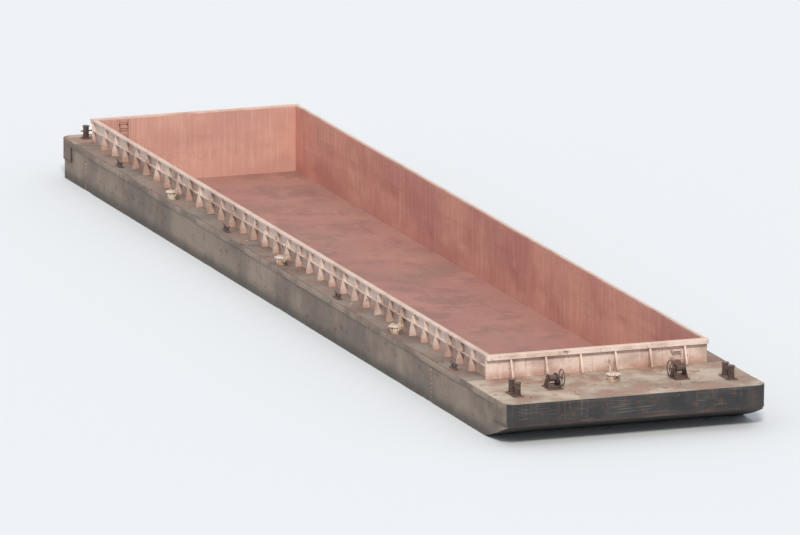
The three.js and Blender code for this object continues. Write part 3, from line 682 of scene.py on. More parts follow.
def dents(seed, u_range, v_range, knocks, buckle, deepest, frames=FRAME_PITCH):
    """Depth of the plate's dents at (u, v): buckling between frames, and knocks."""
    rng = np.random.default_rng(seed)
    field = waves(seed + 1)
    places = []
    for _ in range(knocks):
        u, v = rng.uniform(*u_range), rng.uniform(*v_range)
        long, wide = rng.uniform(*KNOCK_LENGTH), rng.uniform(*KNOCK_WIDTH)
        places.append((u, v, long, wide, deepest * rng.uniform(0.25, 1.0)))

    def depth(u, v):
        between = 0.5 - 0.5 * np.cos(2 * math.pi * u / frames)
        total = buckle * between * (EVEN_BUCKLE + (1 - EVEN_BUCKLE) * field(u, v))
        for u0, v0, long, wide, deep in places:
            total = total + deep * np.exp(-(((u - u0) / long) ** 2) - ((v - v0) / wide) ** 2)
        return total

    return depth


def fade(value, low, high, width):
    """1 between low and high, falling to 0 at both."""
    return np.clip((value - low) / width, 0, 1) * np.clip((high - value) / width, 0, 1)


def joined(depth, low, high):
    """Dents that die out at the joints with the neighbouring shells."""
    return lambda u, v: depth(u, v) * fade(u, low, high, 0.25)


def pressed(depth, u, v, low, high, width):
    """How deep one point is pressed in, with v from low to high across the plate."""
    return float(depth(u, v)) * float(fade(v, low, high, width))


# Distance between the points of a plate along the hull
STATION = 0.1


def spaced(start, end, pitch):
    return np.linspace(start, end, max(2, round(abs(end - start) / pitch) + 1))


def grid(u_low, u_high, v_low, v_high, v_pitch):
    return np.meshgrid(spaced(u_low, u_high, STATION), spaced(v_low, v_high, v_pitch), indexing="ij")


def add_panel(name, slot, node, look, u, v, face, back, axis="z"):
    """A closed plate over the grid (u, v), from the level of its face to that of its back along an axis."""
    rows, cols = u.shape
    total = rows * cols
    points = []
    for level in (face, back):
        parts = (u, v, np.broadcast_to(level, u.shape))
        points += np.stack([parts[i] for i in ORDER[axis]], axis=2).reshape(-1, 3).tolist()
    faces = []
    for a in (r * cols + c for r in range(rows - 1) for c in range(cols - 1)):
        faces.append((a, a + 1, a + cols + 1, a + cols))
        faces.append((total + a, total + a + cols, total + a + cols + 1, total + a + 1))
    index = np.arange(total).reshape(rows, cols)
    rim = np.concatenate([index[0], index[1:, -1], index[-1, -2::-1], index[-2:0:-1, 0]]).tolist()
    faces += [(a, b, total + b, total + a) for a, b in zip(rim, rim[1:] + rim[:1])]
    shape = Shape()
    shape.take(points, faces)
    shape.put(name, slot, node, look)


# Hull shell

# Rows of points down a side, round the bilge, across the bottom and round a corner
SIDE_ROWS = 20
BILGE_STEPS = 6
BOTTOM_ROWS = 5
CORNER_STEPS = 10

# Distance over which a side's dents die out towards its edges
SIDE_FADE = 0.12

# How far the shells step back behind the hopper's dented plates
RECESS = 0.04
RECESS_SHARE = 0.97


def bottom_height(x):
    """Height of the hull's bottom at a place along it: an arc up the bow's rake, a small one at the stern."""
    if x > 0:
        run = HULL_END - RAKE_START
        radius = (run * run + LOG_LOW.z * LOG_LOW.z) / (2 * LOG_LOW.z)
        past = max(0.0, x - RAKE_START)
    else:
        radius = TRANSOM_R
        past = min(radius, max(0.0, TRANSOM_R - HULL_END - x))
    return radius - math.sqrt(radius * radius - past * past)


def half_beam(x):
    """Half-width of the hull, less at the rounded corners."""
    past = abs(x) - (HULL_END - CORNER_R)
    if past <= 0:
        return HULL_Y
    return HULL_Y - CORNER_R + math.sqrt(max(0.0, CORNER_R * CORNER_R - past * past))


SIDE_DENTS = {}
for seed, side in enumerate(SIDES, 10):
    SIDE_DENTS[side] = joined(dents(seed, DENTED, *SIDE_KNOCKS), HULL_LOW.x, HULL_HIGH.x)


def side_run(x, top, inner, dent, bottom_dent):
    """The hull's outside at one station: down from the deck, round the bilge and in to a half-width."""
    low = bottom_height(x)
    side_low = max(low, BILGE_R)
    rows = np.linspace(top, side_low, SIDE_ROWS)
    run = [(HULL_Y - pressed(dent, x, z, side_low, top, SIDE_FADE), z) for z in rows]
    end = math.asin(max(0.0, 1 - low / BILGE_R))
    run += arc(BILGE_R, 0, -end, BILGE_STEPS, HULL_Y - BILGE_R, BILGE_R)[1:]
    run = [(y, max(z, low)) for y, z in run]
    edge = run[-1][0]
    for y in np.linspace(edge, inner, BOTTOM_ROWS + 1)[1:]:
        run.append((y, low + pressed(bottom_dent, x, y, inner, edge, 0.15)))
    limit = half_beam(x)
    return [(min(y, limit), z) for y, z in run]


def add_wing_tank(side, seed):
    top, inner = HULL_HIGH.z, HULL_LOW.y
    bottom_dent = joined(dents(seed + 5, DENTED, *BILGE_KNOCKS), HULL_LOW.x, HULL_HIGH.x)
    inside = [(inner, BOTTOM_HIGH.z - 0.02), (inner + RECESS, BOTTOM_HIGH.z), (inner + RECESS, top - 0.02)]
    inside += [(inner, top - 0.01), (inner, top)]
    rings = []
    for x in spaced(HULL_LOW.x, HULL_HIGH.x, STATION):
        run = side_run(x, top, inner, SIDE_DENTS[side], bottom_dent) + inside
        rings.append([(x, SIDES[side] * y, z) for y, z in run])
    Shape().loft(rings).put(f"side_shell_{side}", "hull", f"wing_tank_{side}")


def end_stations(start, radius):
    """Distances along the hull from an end tank's start to the hull's end, close together at the corner."""
    straight = spaced(start, HULL_END - radius, STATION)
    turns = [HULL_END - radius + y for _, y in arc(radius, 0, QUARTER, CORNER_STEPS)]
    return list(straight) + turns[1:]


STATIONS = {
    "bow": end_stations(RAKE_LOW.x, CORNER_R),
    "stern": [-x for x in end_stations(-STERN_START, TRANSOM_R)],
}


def add_end_tank(end, node, seed):
    """An end tank's shell, with its inner end set back behind the dented bulkhead of the hopper."""
    stations = STATIONS[end]
    reach = sorted((stations[0], stations[-1]))
    flat_end = sorted((stations[0], ENDS[end] * (HULL_END - 0.1)))
    dent = joined(dents(seed, reach, *END_SIDE_KNOCKS), *flat_end)
    bottom_dent = joined(dents(seed + 5, reach, *END_BOTTOM_KNOCKS), *flat_end)
    rings = []
    for x in stations:
        half = side_run(x, RAKE_HIGH.z, 0.0, dent, bottom_dent)
        rings.append([(x, y, z) for y, z in half + [(-y, z) for y, z in reversed(half[:-1])]])
    middle_z = DECK_Z / 2
    rim = [(x, y * RECESS_SHARE, middle_z + (z - middle_z) * RECESS_SHARE) for x, y, z in rings[0]]
    recess = [(x + ENDS[end] * RECESS, y, z) for x, y, z in rim]
    Shape().loft([recess, rim] + rings).put(f"{end}_shell", "hull", node, END_SHELL)


def add_bottom(seed):
    dent = joined(dents(seed, DENTED, *BOTTOM_KNOCKS), BOTTOM_LOW.x, BOTTOM_HIGH.x)
    edge, top = BOTTOM_HIGH.y, BOTTOM_HIGH.z - RECESS
    rings = []
    for x in spaced(BOTTOM_LOW.x, BOTTOM_HIGH.x, 0.12):
        low = bottom_height(x)
        ring = [(x, y, low + pressed(dent, x, y, -edge, edge, 0.2)) for y in spaced(-edge, edge, 0.15)]
        rings.append(ring + [(x, edge, top), (x, -edge, top)])
    Shape().loft(rings).put("bottom_shell", "hull", "double_bottom", END_SHELL)


# Decks and hopper

# Distance between the rows of points up a wall and across a side deck, and their number across an end deck
WALL_ROW = 0.085
DECK_ROW = 0.065
DECK_COLUMNS = 57
END_WALL_DEEPEST = 0.02


def add_side_deck(side, seed):
    u, v = grid(SIDE_DECK_LOW.x, SIDE_DECK_HIGH.x, SIDE_DECK_LOW.y, HULL_Y, DECK_ROW)
    face = DECK_Z - dents(seed, DENTED, *SIDE_DECK_KNOCKS)(u, v) * fade(v, SIDE_DECK_LOW.y, HULL_Y, 0.1)
    name, node = f"side_deck_plate_{side}", f"deck_{side}"
    add_panel(name, "deck", node, None, u, SIDES[side] * v, face, SIDE_DECK_LOW.z)


def add_end_deck(end, seed):
    stations = STATIONS[end]
    reach = sorted((stations[0], stations[-1]))
    shares = np.linspace(-1, 1, DECK_COLUMNS)
    u = np.repeat(np.array(stations)[:, None], len(shares), axis=1)
    v = np.outer([half_beam(x) for x in stations], shares)
    drop = dents(seed, reach, *END_DECK_KNOCKS)(u, v) * fade(u, *reach, 0.15) * fade(v, -HULL_Y, HULL_Y, 0.15)
    add_panel(f"end_deck_plate_{end}", "deck", f"deck_{end}", END_DECK, u, v, DECK_Z - drop, SIDE_DECK_LOW.z)


def add_hopper_side(side, seed):
    u, v = grid(WALL_LOW.x, WALL_HIGH.x, WALL_LOW.z, WALL_HIGH.z, WALL_ROW)
    push = dents(seed, DENTED, *HOPPER_SIDE_KNOCKS)(u, v)
    push = push * fade(v, FLOOR_HIGH.z, WALL_HIGH.z, 0.15) * fade(u, WALL_LOW.x, WALL_HIGH.x, 0.2)
    face, back = (SIDES[side] * (y + push) for y in (WALL_LOW.y, WALL_HIGH.y))
    add_panel(f"hopper_plating_{side}", "hopper", f"hopper_side_{side}", None, u, v, face, back, "y")


def add_hopper_end(end, inner, outer, seed):
    half = FORE_WALL_HIGH.y
    u, v = grid(-half, half, FORE_WALL_LOW.z, DECK_Z, WALL_ROW)
    push = dents(seed, (-2.4, 2.4), *HOPPER_END_KNOCKS)(u, v)
    push = push * fade(v, FLOOR_HIGH.z, DECK_Z, 0.15) * fade(u, -half, half, 0.2)
    push = ENDS[end] * np.minimum(push, END_WALL_DEEPEST)
    name, node = f"hopper_bulkhead_{end}", f"hopper_end_{end}"
    add_panel(name, "hopper", node, HOPPER_END, u, v, inner + push, outer + push, "x")


def add_hopper_floor(seed):
    u, v = grid(FLOOR_LOW.x, FLOOR_HIGH.x, FLOOR_LOW.y, FLOOR_HIGH.y, 0.1)
    drop = dents(seed, DENTED, *FLOOR_KNOCKS)(u, v)
    drop = drop * fade(u, FLOOR_LOW.x, FLOOR_HIGH.x, 0.2) * fade(v, FLOOR_LOW.y, FLOOR_HIGH.y, 0.2)
    levels = FLOOR_HIGH.z - drop, FLOOR_LOW.z - drop
    add_panel("hopper_floor_plating", "hopper", "hopper_floor", HOPPER_FLOOR, u, v, *levels)


# Headlogs and rub rails

LOG_STATION = 0.08
LOG_ROWS = 7
LOG_EDGE = 0.012
RAIL_DEEPEST = 0.013
# Lower half of the rub rail's rounded face: how far it is in from the face, and up from its foot
RAIL_SECTION = ((0.006, 0.011), (0.0015, 0.016), (0.0, 0.023))


def add_headlog(end, seed):
    """The log's section follows its U in plan, with knocks pressed into the face."""
    outer_r = CORNER_R + (LOG_HIGH.y - HULL_Y)
    xs = spaced(LOG_LOW.x, LOG_HIGH.x - outer_r, LOG_STATION)
    ys = spaced(LOG_HIGH.y - outer_r, 0, LOG_STATION)[1:]

    def plan(far_x, far_y, radius):
        half = [(x, far_y) for x in xs]
        half += arc(radius, QUARTER, 0, CORNER_STEPS, far_x - radius, far_y - radius)[1:]
        half += [(far_x, y) for y in ys]
        return half + [(x, -y) for x, y in reversed(half[:-1])]

    outer = plan(LOG_HIGH.x, LOG_HIGH.y, outer_r)
    inner = plan(HULL_END + SEAT_GAP, HULL_Y + SEAT_GAP, CORNER_R)
    lengths = np.cumsum([0.0] + [math.dist(a, b) for a, b in zip(outer, outer[1:])])
    whole = lengths[-1]
    dent = dents(seed, (0.2, whole - 0.2), *LOG_KNOCKS)
    rows = np.linspace(LOG_LOW.z + LOG_EDGE, LOG_HIGH.z - LOG_EDGE, LOG_ROWS)
    rings = []
    for (ix, iy), (ox, oy), along in zip(inner, outer, lengths):
        thick = math.hypot(ox - ix, oy - iy)
        section = [(0, LOG_HIGH.z), (0, LOG_LOW.z), (thick - LOG_EDGE, LOG_LOW.z)]
        for z in rows:
            press = float(dent(along, z)) * float(fade(along, 0.0, whole, 0.15))
            section.append((thick - min(press, thick * 0.5), z))
        section.append((thick - LOG_EDGE, LOG_HIGH.z))
        shares = [(out / thick, z) for out, z in section]
        rings.append([(ENDS[end] * (ix + (ox - ix) * s), iy + (oy - iy) * s, z) for s, z in shares])
    Shape().loft(rings).put(f"headlog_plating_{end}", "headlog", f"headlog_{end}", sharp=50)


def add_rub_rail(side, seed):
    """A rail with a rounded face and knocks along it."""
    foot, face = RAIL_LOW.y, RAIL_HIGH.y
    low, high = RAIL_LOW.z, RAIL_HIGH.z
    dent = dents(seed, RAIL_DENTED, *RAIL_KNOCKS)
    rings = []
    for x in spaced(RAIL_LOW.x, RAIL_HIGH.x, STATION):
        press = min(RAIL_DEEPEST, float(dent(x, (low + high) / 2)))
        press *= float(fade(x, RAIL_LOW.x, RAIL_HIGH.x, 0.2))
        lower = [(foot, low)] + [(face - inset - press, low + up) for inset, up in RAIL_SECTION]
        section = lower + [(y, low + high - z) for y, z in reversed(lower)]
        rings.append([(x, SIDES[side] * y, z) for y, z in section])
    Shape().loft(rings).put(f"rub_rail_{side}_knocked", "headlog", f"rub_rail_{side}", sharp=50)


# Fittings, each drawn about its own origin and placed where the frame has it

ALONG_Y = Matrix.Rotation(-QUARTER, 4, "X")
UPRIGHT = Matrix.Rotation(QUARTER, 4, "X")

BITT_R = 0.135 * M
BITT_CAP_R = 0.163 * M
BITT_CAP_LOW = 0.085 * M
BITT_HEIGHT = 0.62 * M
BITT_SPREAD = 0.36 * M
BITT_BASE = (1.16 * M, 0.48 * M, 0.03 * M)
BITT_BAR_Z = 0.36 * M
BITT_BAR_R = 0.03 * M
BITT_BAR_HALF = 0.615 * M
# The cap's rim: shares of its radius, and metres of the full-size barge below its top
BITT_CAP = ((0.9, 0.07), (1.0, 0.055), (1.0, 0.025), (0.92, 0.008), (0.7, 0.0), (0.05, 0.0))


def bitt():
    shape = Shape()
    height = shape.base(*BITT_BASE, 0.02)
    profile = [(BITT_R, 0.5 * height), (BITT_R, BITT_HEIGHT - BITT_CAP_LOW)]
    profile += [(BITT_CAP_R * share, BITT_HEIGHT - below * M) for share, below in BITT_CAP]
    rib = [(BITT_R - 0.005, height), (BITT_R + 0.028, height), (BITT_R - 0.005, height + 0.06)]
    for x in (-BITT_SPREAD, BITT_SPREAD):
        shape.turn(profile, 32, at(x, 0, 0))
        shape.bead(BITT_R, height, at(x, 0, 0))
        for turn in range(4):
            shape.plate(rib, -0.004, 0.004, "y", at(x, 0, 0, QUARTER * (turn + 0.5)))
    ends = (-BITT_BAR_HALF, 0.006 - BITT_BAR_HALF, BITT_BAR_HALF - 0.006, BITT_BAR_HALF)
    radii = [BITT_BAR_R - 0.005, BITT_BAR_R, BITT_BAR_R, BITT_BAR_R - 0.005]
    shape.pipe([(x, 0, BITT_BAR_Z) for x in ends], radii, 18)
    return shape


KEVEL_HALF = 0.475 * M
KEVEL_BASE = (0.76 * M, 0.24 * M, 0.025 * M)
KEVEL_LEG_X = 0.19 * M
KEVEL_BAR_Z = 0.218 * M
KEVEL_BAR_R = 0.046 * M
KEVEL_TIP_Z = 0.277 * M
KEVEL_STEPS = 14
HORN_START = 0.45


def kevel():
    """A cast bar whose horns taper and turn up, on two flared legs."""
    shape = Shape()
    height = shape.base(*KEVEL_BASE, 0.025)
    path, radii = [], []
    for k in range(-KEVEL_STEPS, KEVEL_STEPS + 1):
        past = max(0.0, abs(k) / KEVEL_STEPS - HORN_START) / (1 - HORN_START)
        path.append((KEVEL_HALF * k / KEVEL_STEPS, 0, KEVEL_BAR_Z + (KEVEL_TIP_Z - KEVEL_BAR_Z) * past**1.5))
        radii.append(KEVEL_BAR_R * (1 - 0.35 * past))
    radii[0] = radii[-1] = 0.4 * KEVEL_BAR_R
    shape.pipe(path, radii, 16, flat=1.12)
    leg = full((0.062, 0.0125), (0.056, 0.045), (0.046, 0.09), (0.05, 0.19))
    for x in (-KEVEL_LEG_X, KEVEL_LEG_X):
        shape.turn(leg, 20, at(x, 0, 0))
        shape.bead(0.058 * M, height, at(x, 0, 0), 20)
    shape.bolts(corners(0.33 * M, 0.075 * M), height, 0.009)
    return shape


TRUNK_IN = 0.24 * M
TRUNK_OUT = 0.26 * M
TRUNK_FLANGE = 0.288 * M
TRUNK_TOP = 0.32 * M
FLANGE_LOW = 0.298 * M
CHAMFER = 0.002
PIN_X = -0.4 * M
PIN_Z = 0.335 * M
PIN_R = 0.014 * M
LUG_Y = (0.071 * M, 0.089 * M)
VENT_R = 0.044 * M
VENT_RISE = 0.42 * M
VENT_DROP = 0.62 * M
VENT_BEND_Z = 0.43 * M
VENT_ELBOW_R = 0.06 * M
VENT_ELBOW_Z = 0.16 * M
VENT_MOUTH_Z = 0.32 * M
DOG_X = 0.014 * M
DOG_PIN_Z = 0.255 * M


def lug_outline():
    """The hinge lug: out from the trunk, then up to a round eye at the pin."""
    eye = arc(0.034 * M, math.radians(-20), math.pi, 8, PIN_X, PIN_Z)
    return full((-0.25, 0.13), (-0.25, 0.262), (-0.36, 0.272)) + eye + full((-0.436, 0.285))


def vent_path():
    """Out of the trunk, up, over a half circle and down to the mouth."""
    bend_r = (VENT_DROP - VENT_RISE) / 2
    elbow_x = VENT_RISE - VENT_ELBOW_R
    path = [(0.25 * M, VENT_ELBOW_Z), (elbow_x, VENT_ELBOW_Z)]
    path += arc(VENT_ELBOW_R, -QUARTER, 0, 6, elbow_x, VENT_ELBOW_Z + VENT_ELBOW_R)[1:]
    path += arc(bend_r, math.pi, 0, 12, VENT_RISE + bend_r, VENT_BEND_Z)
    return [(x, 0, z) for x, z in path + [(VENT_DROP, VENT_MOUTH_Z + 0.02 * M)]]


def hatch_trunk():
    """A round trunk with a flange, hinge lugs and pin, a gooseneck vent and four dogs."""
    shape = Shape()
    section = [(TRUNK_OUT, 0), (TRUNK_OUT, FLANGE_LOW - 0.004), (TRUNK_OUT + 0.004, FLANGE_LOW)]
    section += [(TRUNK_FLANGE - CHAMFER, FLANGE_LOW), (TRUNK_FLANGE, FLANGE_LOW + CHAMFER)]
    section += [(TRUNK_FLANGE, TRUNK_TOP - CHAMFER), (TRUNK_FLANGE - CHAMFER, TRUNK_TOP)]
    section += [(TRUNK_IN, TRUNK_TOP), (TRUNK_IN, 0)]
    shape.turn(section, 48, hollow=True)
    shape.bead(TRUNK_OUT, 0, sides=48)
    for sign in (-1, 1):
        shape.plate(lug_outline(), sign * LUG_Y[0], sign * LUG_Y[1])
    pin = at(PIN_X, 0, PIN_Z) @ ALONG_Y
    half = LUG_Y[1] + 0.004
    shape.turn([(PIN_R - 0.001, -half), (PIN_R - 0.0002, 0.001 - half), (PIN_R - 0.0002, half)], 20, pin)
    shape.turn([(0.02 * M, half - 0.004), (0.02 * M, half - 0.0015), (0.016 * M, half)], 20, pin)
    shape.pipe(vent_path(), VENT_R, 20)
    collar = full((0.038, 0), (0.058, 0), (0.058, 0.012), (0.048, 0.016), (0.048, 0.045), (0.038, 0.045))
    shape.turn(collar, 24, at(VENT_DROP, 0, VENT_MOUTH_Z), True)
    ear = full((-0.004, 0.23), (0.024, 0.235), (0.024, 0.268), (-0.004, 0.275))
    for turn in (-115, -55, 55, 115):
        dog = at(0, 0, 0, math.radians(turn)) @ at(TRUNK_OUT, 0, 0)
        for y in (-0.007, 0.007):
            shape.plate(ear, y - 0.002, y + 0.002, "y", dog)
        shape.rod((DOG_X, 0, DOG_PIN_Z), (DOG_X, 0, 0.13 * M), 0.0075 * M, 10, dog)
        shape.rod((DOG_X, 0, 0.15 * M), (DOG_X, 0, 0.135 * M), 0.013 * M, 6, dog)
        shape.rod((DOG_X, -0.02 * M, DOG_PIN_Z), (DOG_X, 0.02 * M, DOG_PIN_Z), 0.005 * M, 8, dog)
    return shape


LID_UNDER = TRUNK_TOP + SEAT_GAP
LID_R = 0.334 * M
LID_INSIDE_R = 0.312 * M
LID_SKIRT = 0.019 * M
LID_DOME = 0.039 * M
DOME_RINGS = 8
KNUCKLE_R = 0.033 * M
KNUCKLE_HOLE = 0.0079
KNUCKLE_HALF = 0.054 * M
HANDLE_X = 0.208 * M
HANDLE_HALF = 0.062 * M
HANDLE_R = 0.0075 * M
HANDLE_BEND = 0.018 * M
HANDLE_TOP = LID_UNDER + 0.07 * M


def hatch_lid():
    """A domed lid with a skirt, a hinge strap and knuckle, rivets and a handle."""
    shape = Shape()
    low = LID_UNDER - LID_SKIRT
    profile = [(0.01, LID_UNDER), (LID_INSIDE_R, LID_UNDER), (LID_INSIDE_R, low), (LID_R - CHAMFER, low)]
    profile += [(LID_R, low + CHAMFER), (LID_R, LID_UNDER + 0.006), (LID_R - CHAMFER, LID_UNDER + 0.008)]
    for k in range(1, DOME_RINGS + 1):
        r = (LID_R - 0.004) * (1 - k / (DOME_RINGS + 0.2))
        profile.append((r, LID_UNDER + max(0.0085, LID_DOME * (1 - (r / LID_R) ** 2))))
    shape.turn(profile, 48)
    strap = full((-0.38, 0.045), (-0.13, 0.045), (-0.105, 0.027), (-0.095, 0))
    strap += [(x, -y) for x, y in reversed(strap[:-1])]
    shape.plate(strap, LID_UNDER + 0.02 * M, LID_UNDER + 0.044 * M, "z")
    end = [(KNUCKLE_HOLE, KNUCKLE_HALF), (KNUCKLE_R - 0.001, KNUCKLE_HALF), (KNUCKLE_R, KNUCKLE_HALF - 0.001)]
    knuckle = [(r, -y) for r, y in end] + end[::-1]
    shape.turn(knuckle, 24, at(PIN_X, 0, PIN_Z) @ ALONG_Y, True)
    for x in (-0.27 * M, -0.2 * M, -0.14 * M):
        for y in (-0.024 * M, 0.024 * M):
            shape.turn(full((0.008, 0.04), (0.008, 0.048), (0.005, 0.051)), 12, at(x, y, LID_UNDER))
    path = [(-HANDLE_HALF, LID_UNDER + 0.012 * M)]
    path += arc(HANDLE_BEND, math.pi, QUARTER, 4, HANDLE_BEND - HANDLE_HALF, HANDLE_TOP - HANDLE_BEND)
    path += [(-y, z) for y, z in reversed(path)]
    shape.pipe([(HANDLE_X, y, z) for y, z in path], HANDLE_R, 12)
    for y in (-HANDLE_HALF, HANDLE_HALF):
        shape.turn(full((0.014, 0.016), (0.014, 0.026), (0.009, 0.03)), 16, at(HANDLE_X, y, LID_UNDER))
    return shape


SHAFT_Z = 0.42 * M
SHAFT_R = 0.0345 * M
SHAFT_PLAY = 0.0012
CHEEK_Y = 0.26 * M
CHEEK_THICK = 0.028 * M
CHEEK_HALF = 0.42 * M
CHEEK_FOOT = 0.012 * M
CHEEK_HEAD_R = 0.12 * M
CHEEK_SHOULDER = math.radians(20)
TIE_X = 0.31 * M
TIE_Z = 0.11 * M
WINCH_BASE = (1.0 * M, 0.68 * M, 0.03 * M)
PAWL = full((-0.395, 0.465), (-0.335, 0.465), (-0.26, 0.512), (-0.195, 0.578), (-0.195, 0.605))
PAWL += full((-0.25, 0.59), (-0.355, 0.53))


def winch_frame():
    """Two cheeks with bearings on a base, tie rods between them, and a lifted pawl on its post."""
    shape = Shape()
    height = shape.base(*WINCH_BASE, 0.02)
    upright = at(0, 0, SHAFT_Z) @ UPRIGHT
    hole = SHAFT_R + SHAFT_PLAY
    near, face = CHEEK_Y - CHEEK_THICK / 2, CHEEK_Y + CHEEK_THICK / 2
    cheek = headed(CHEEK_HEAD_R, CHEEK_SHOULDER, CHEEK_HALF, CHEEK_FOOT - SHAFT_Z, 12, (6, 7, 6))
    housing = full((0.085, 0), (0.085, 0.015), (0.052, 0.02), (0.052, 0.035))
    housing = [(hole, 0), *housing, (hole, 0.035 * M)]
    gusset = full((0.24, 0.03), (0.33, 0.03), (0.24, 0.15))
    for side in (-1, 1):
        shape.eyed(cheek, hole, -side * near, -side * face, upright)
        outside = upright @ Matrix.Rotation(QUARTER * (1 + side), 4, "X") @ at(0, 0, face)
        shape.turn(housing, 28, outside, True)
        shape.bolts(corners(0.048 * M, 0.048 * M), 0.015 * M, 0.007, outside)
        for x in (-0.2 * M, 0.2 * M):
            shape.plate([(side * u, v) for u, v in gusset], x - 0.004, x + 0.004, "x")
    for x in (-TIE_X, TIE_X):
        shape.rod((x, -CHEEK_Y, TIE_Z), (x, CHEEK_Y, TIE_Z), 0.021 * M, 16)
        for outward in (ALONG_Y, UPRIGHT):
            shape.bolts([(0, 0)], face, 0.014, at(x, 0, TIE_Z) @ outward)
    shape.bolts(corners(0.46 * M, 0.3 * M), height, 0.011)
    shape.box((-0.388 * M, 0.222 * M, 0.02 * M), (-0.342 * M, 0.25 * M, 0.498 * M))
    shape.plate(PAWL, 0.16 * M, 0.19 * M)
    shape.rod((-0.365 * M, 0.155 * M, 0.49 * M), (-0.365 * M, 0.24 * M, 0.49 * M), 0.012 * M, 14)
    return shape


COIL_R = 0.139 * M
COIL_LOW = -0.2 * M
COIL_HIGH = 0.16 * M
RIM_R = 0.2 * M
WIRE_R = 0.011 * M
RATCHET_R = 0.238 * M
RATCHET_ROOT = 0.202 * M
TEETH = 16
WHEEL_R = 0.35 * M
WHEEL_TUBE = 0.021 * M
WHEEL_Y = 0.42 * M
WHEEL_BARS = 3


def wound_wire():
    """Radius and place along the drum of a skin of wire, turn beside turn."""
    profile = []
    for i in range(int((COIL_HIGH - COIL_LOW - 0.01) / (2 * WIRE_R))):
        start = COIL_LOW + 0.005 + 2 * WIRE_R * i
        profile += [(r, z) for z, r in arc(WIRE_R, math.pi, 0, 6, start + WIRE_R, COIL_R - WIRE_R)[:-1]]
    return profile


def winch_drum():
    """Everything that turns: shaft, wound drum, flange, ratchet wheel and handwheel."""
    shape = Shape()
    along = at(0, 0, SHAFT_Z) @ ALONG_Y
    shaft = [(SHAFT_R - CHAMFER, -0.299 * M), (SHAFT_R, -0.293 * M), (SHAFT_R, 0.452 * M)]
    shape.turn(shaft + [(SHAFT_R - CHAMFER, 0.457 * M)], 28, along)
    shape.turn(wound_wire(), 36, along)
    rim = [(0.9, -0.0098), (0.985, -0.0098), (1.0, -0.005), (1.0, 0.005), (0.985, 0.0098), (0.9, 0.0098)]
    shape.turn([(RIM_R * share, COIL_LOW + y * M) for share, y in rim], 40, along)
    teeth = []
    for i in range(TEETH):
        for radius, turned in ((RATCHET_R, i), (RATCHET_ROOT, i + 0.8)):
            angle = 2 * math.pi * turned / TEETH
            teeth.append((radius * math.cos(angle), SHAFT_Z + radius * math.sin(angle)))
    shape.plate(teeth, 0.152 * M, 0.188 * M)
    shape.turn(full((0.09, 0.188), (0.09, 0.2), (0.06, 0.21), (0.05, 0.225)), 28, along)
    shape.pipe([(x, WHEEL_Y, SHAFT_Z + z) for x, z in circle(WHEEL_R, 48)], WHEEL_TUBE, 12, joined=True)
    shape.turn(full((0.05, 0.39), (0.06, 0.395), (0.06, 0.445), (0.05, 0.45)), 24, along)
    for x, z in circle(WHEEL_R, 2 * WHEEL_BARS)[:WHEEL_BARS]:
        shape.rod((-x, WHEEL_Y, SHAFT_Z - z), (x, WHEEL_Y, SHAFT_Z + z), 0.0135 * M, 12)
    return shape


LADDER_HALF = 0.2 * M
LADDER_OFF = 0.17 * M
STILE_HALF_WIDTH = 0.029 * M
STILE_HALF_THICK = 0.009 * M
RUNGS = 10
RUNG_PITCH = 0.3 * M
FIRST_RUNG = FLOOR_HIGH.z + 0.25 * M
LADDER_FEET = (0.8 * M, 2.2 * M, 3.25 * M)


def hopper_ladder():
    """The ladder in front of a wall at x = 0, with round rungs through its stiles."""
    shape = Shape()
    foot, top = FLOOR_HIGH.z + 0.0006, COAMING_TOP - 0.041 * M
    x0, x1 = -LADDER_OFF - STILE_HALF_WIDTH, -LADDER_OFF + STILE_HALF_WIDTH
    stile = [(x0, foot), (x1, foot), (x1, top - 0.015), (x1 - 0.01, top), (x0 + 0.01, top), (x0, top - 0.015)]
    for sign in (-1, 1):
        near, far = sign * (LADDER_HALF - STILE_HALF_THICK), sign * (LADDER_HALF + STILE_HALF_THICK)
        shape.plate(stile, near, far)
        for z in LADDER_FEET:
            shape.box((-LADDER_OFF, near, z), (-0.003, far, z + 0.05 * M))
            pad = sign * (LADDER_HALF - 5 * STILE_HALF_THICK)
            shape.box((-0.0055, near, z + 0.002), (-0.0006, pad, z + 0.048 * M))
    reach = LADDER_HALF + 0.0045
    for i in range(RUNGS):
        z = FIRST_RUNG + i * RUNG_PITCH
        shape.rod((-LADDER_OFF, -reach, z), (-LADDER_OFF, reach, z), 0.0155 * M, 14)
    return shape


def middle(node):
    low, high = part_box(node)
    return (low + high) / 2


def joint(name):
    return next(j for j in frame["record"]["behaviour"]["joints"] if j["name"] == name)


def add_bitts_and_kevels():
    casts = {"bitt": bitt(), "kevel": kevel()}
    for node in frame["nodes"]:
        kind = node.split("_")[0]
        if kind in casts:
            low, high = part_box(node)
            centre = middle(node)
            across = high.y - low.y > high.x - low.x
            cast = casts[kind].moved(at(centre.x, centre.y, low.z, QUARTER * across))
            cast.put(f"{node}_cast", "fitting", node)


def add_hatches():
    trunk, lid = hatch_trunk(), hatch_lid()
    for node in frame["nodes"]:
        if node.startswith("hatch_lid_"):
            hinge = joint(f"{node}_hinge")
            turn = math.atan2(hinge["axis"][0], -hinge["axis"][1])
            x, y, _ = hinge["pos_m"]
            fixed = node.replace("lid", "trunk")
            place = at(x - PIN_X * math.cos(turn), y - PIN_X * math.sin(turn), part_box(fixed)[0].z, turn)
            trunk.moved(place).put(f"{fixed}_welded", "hatch_trunk", fixed)
            lid.moved(place).put(f"{node}_pressed", "hatch_lid", node, body=node)


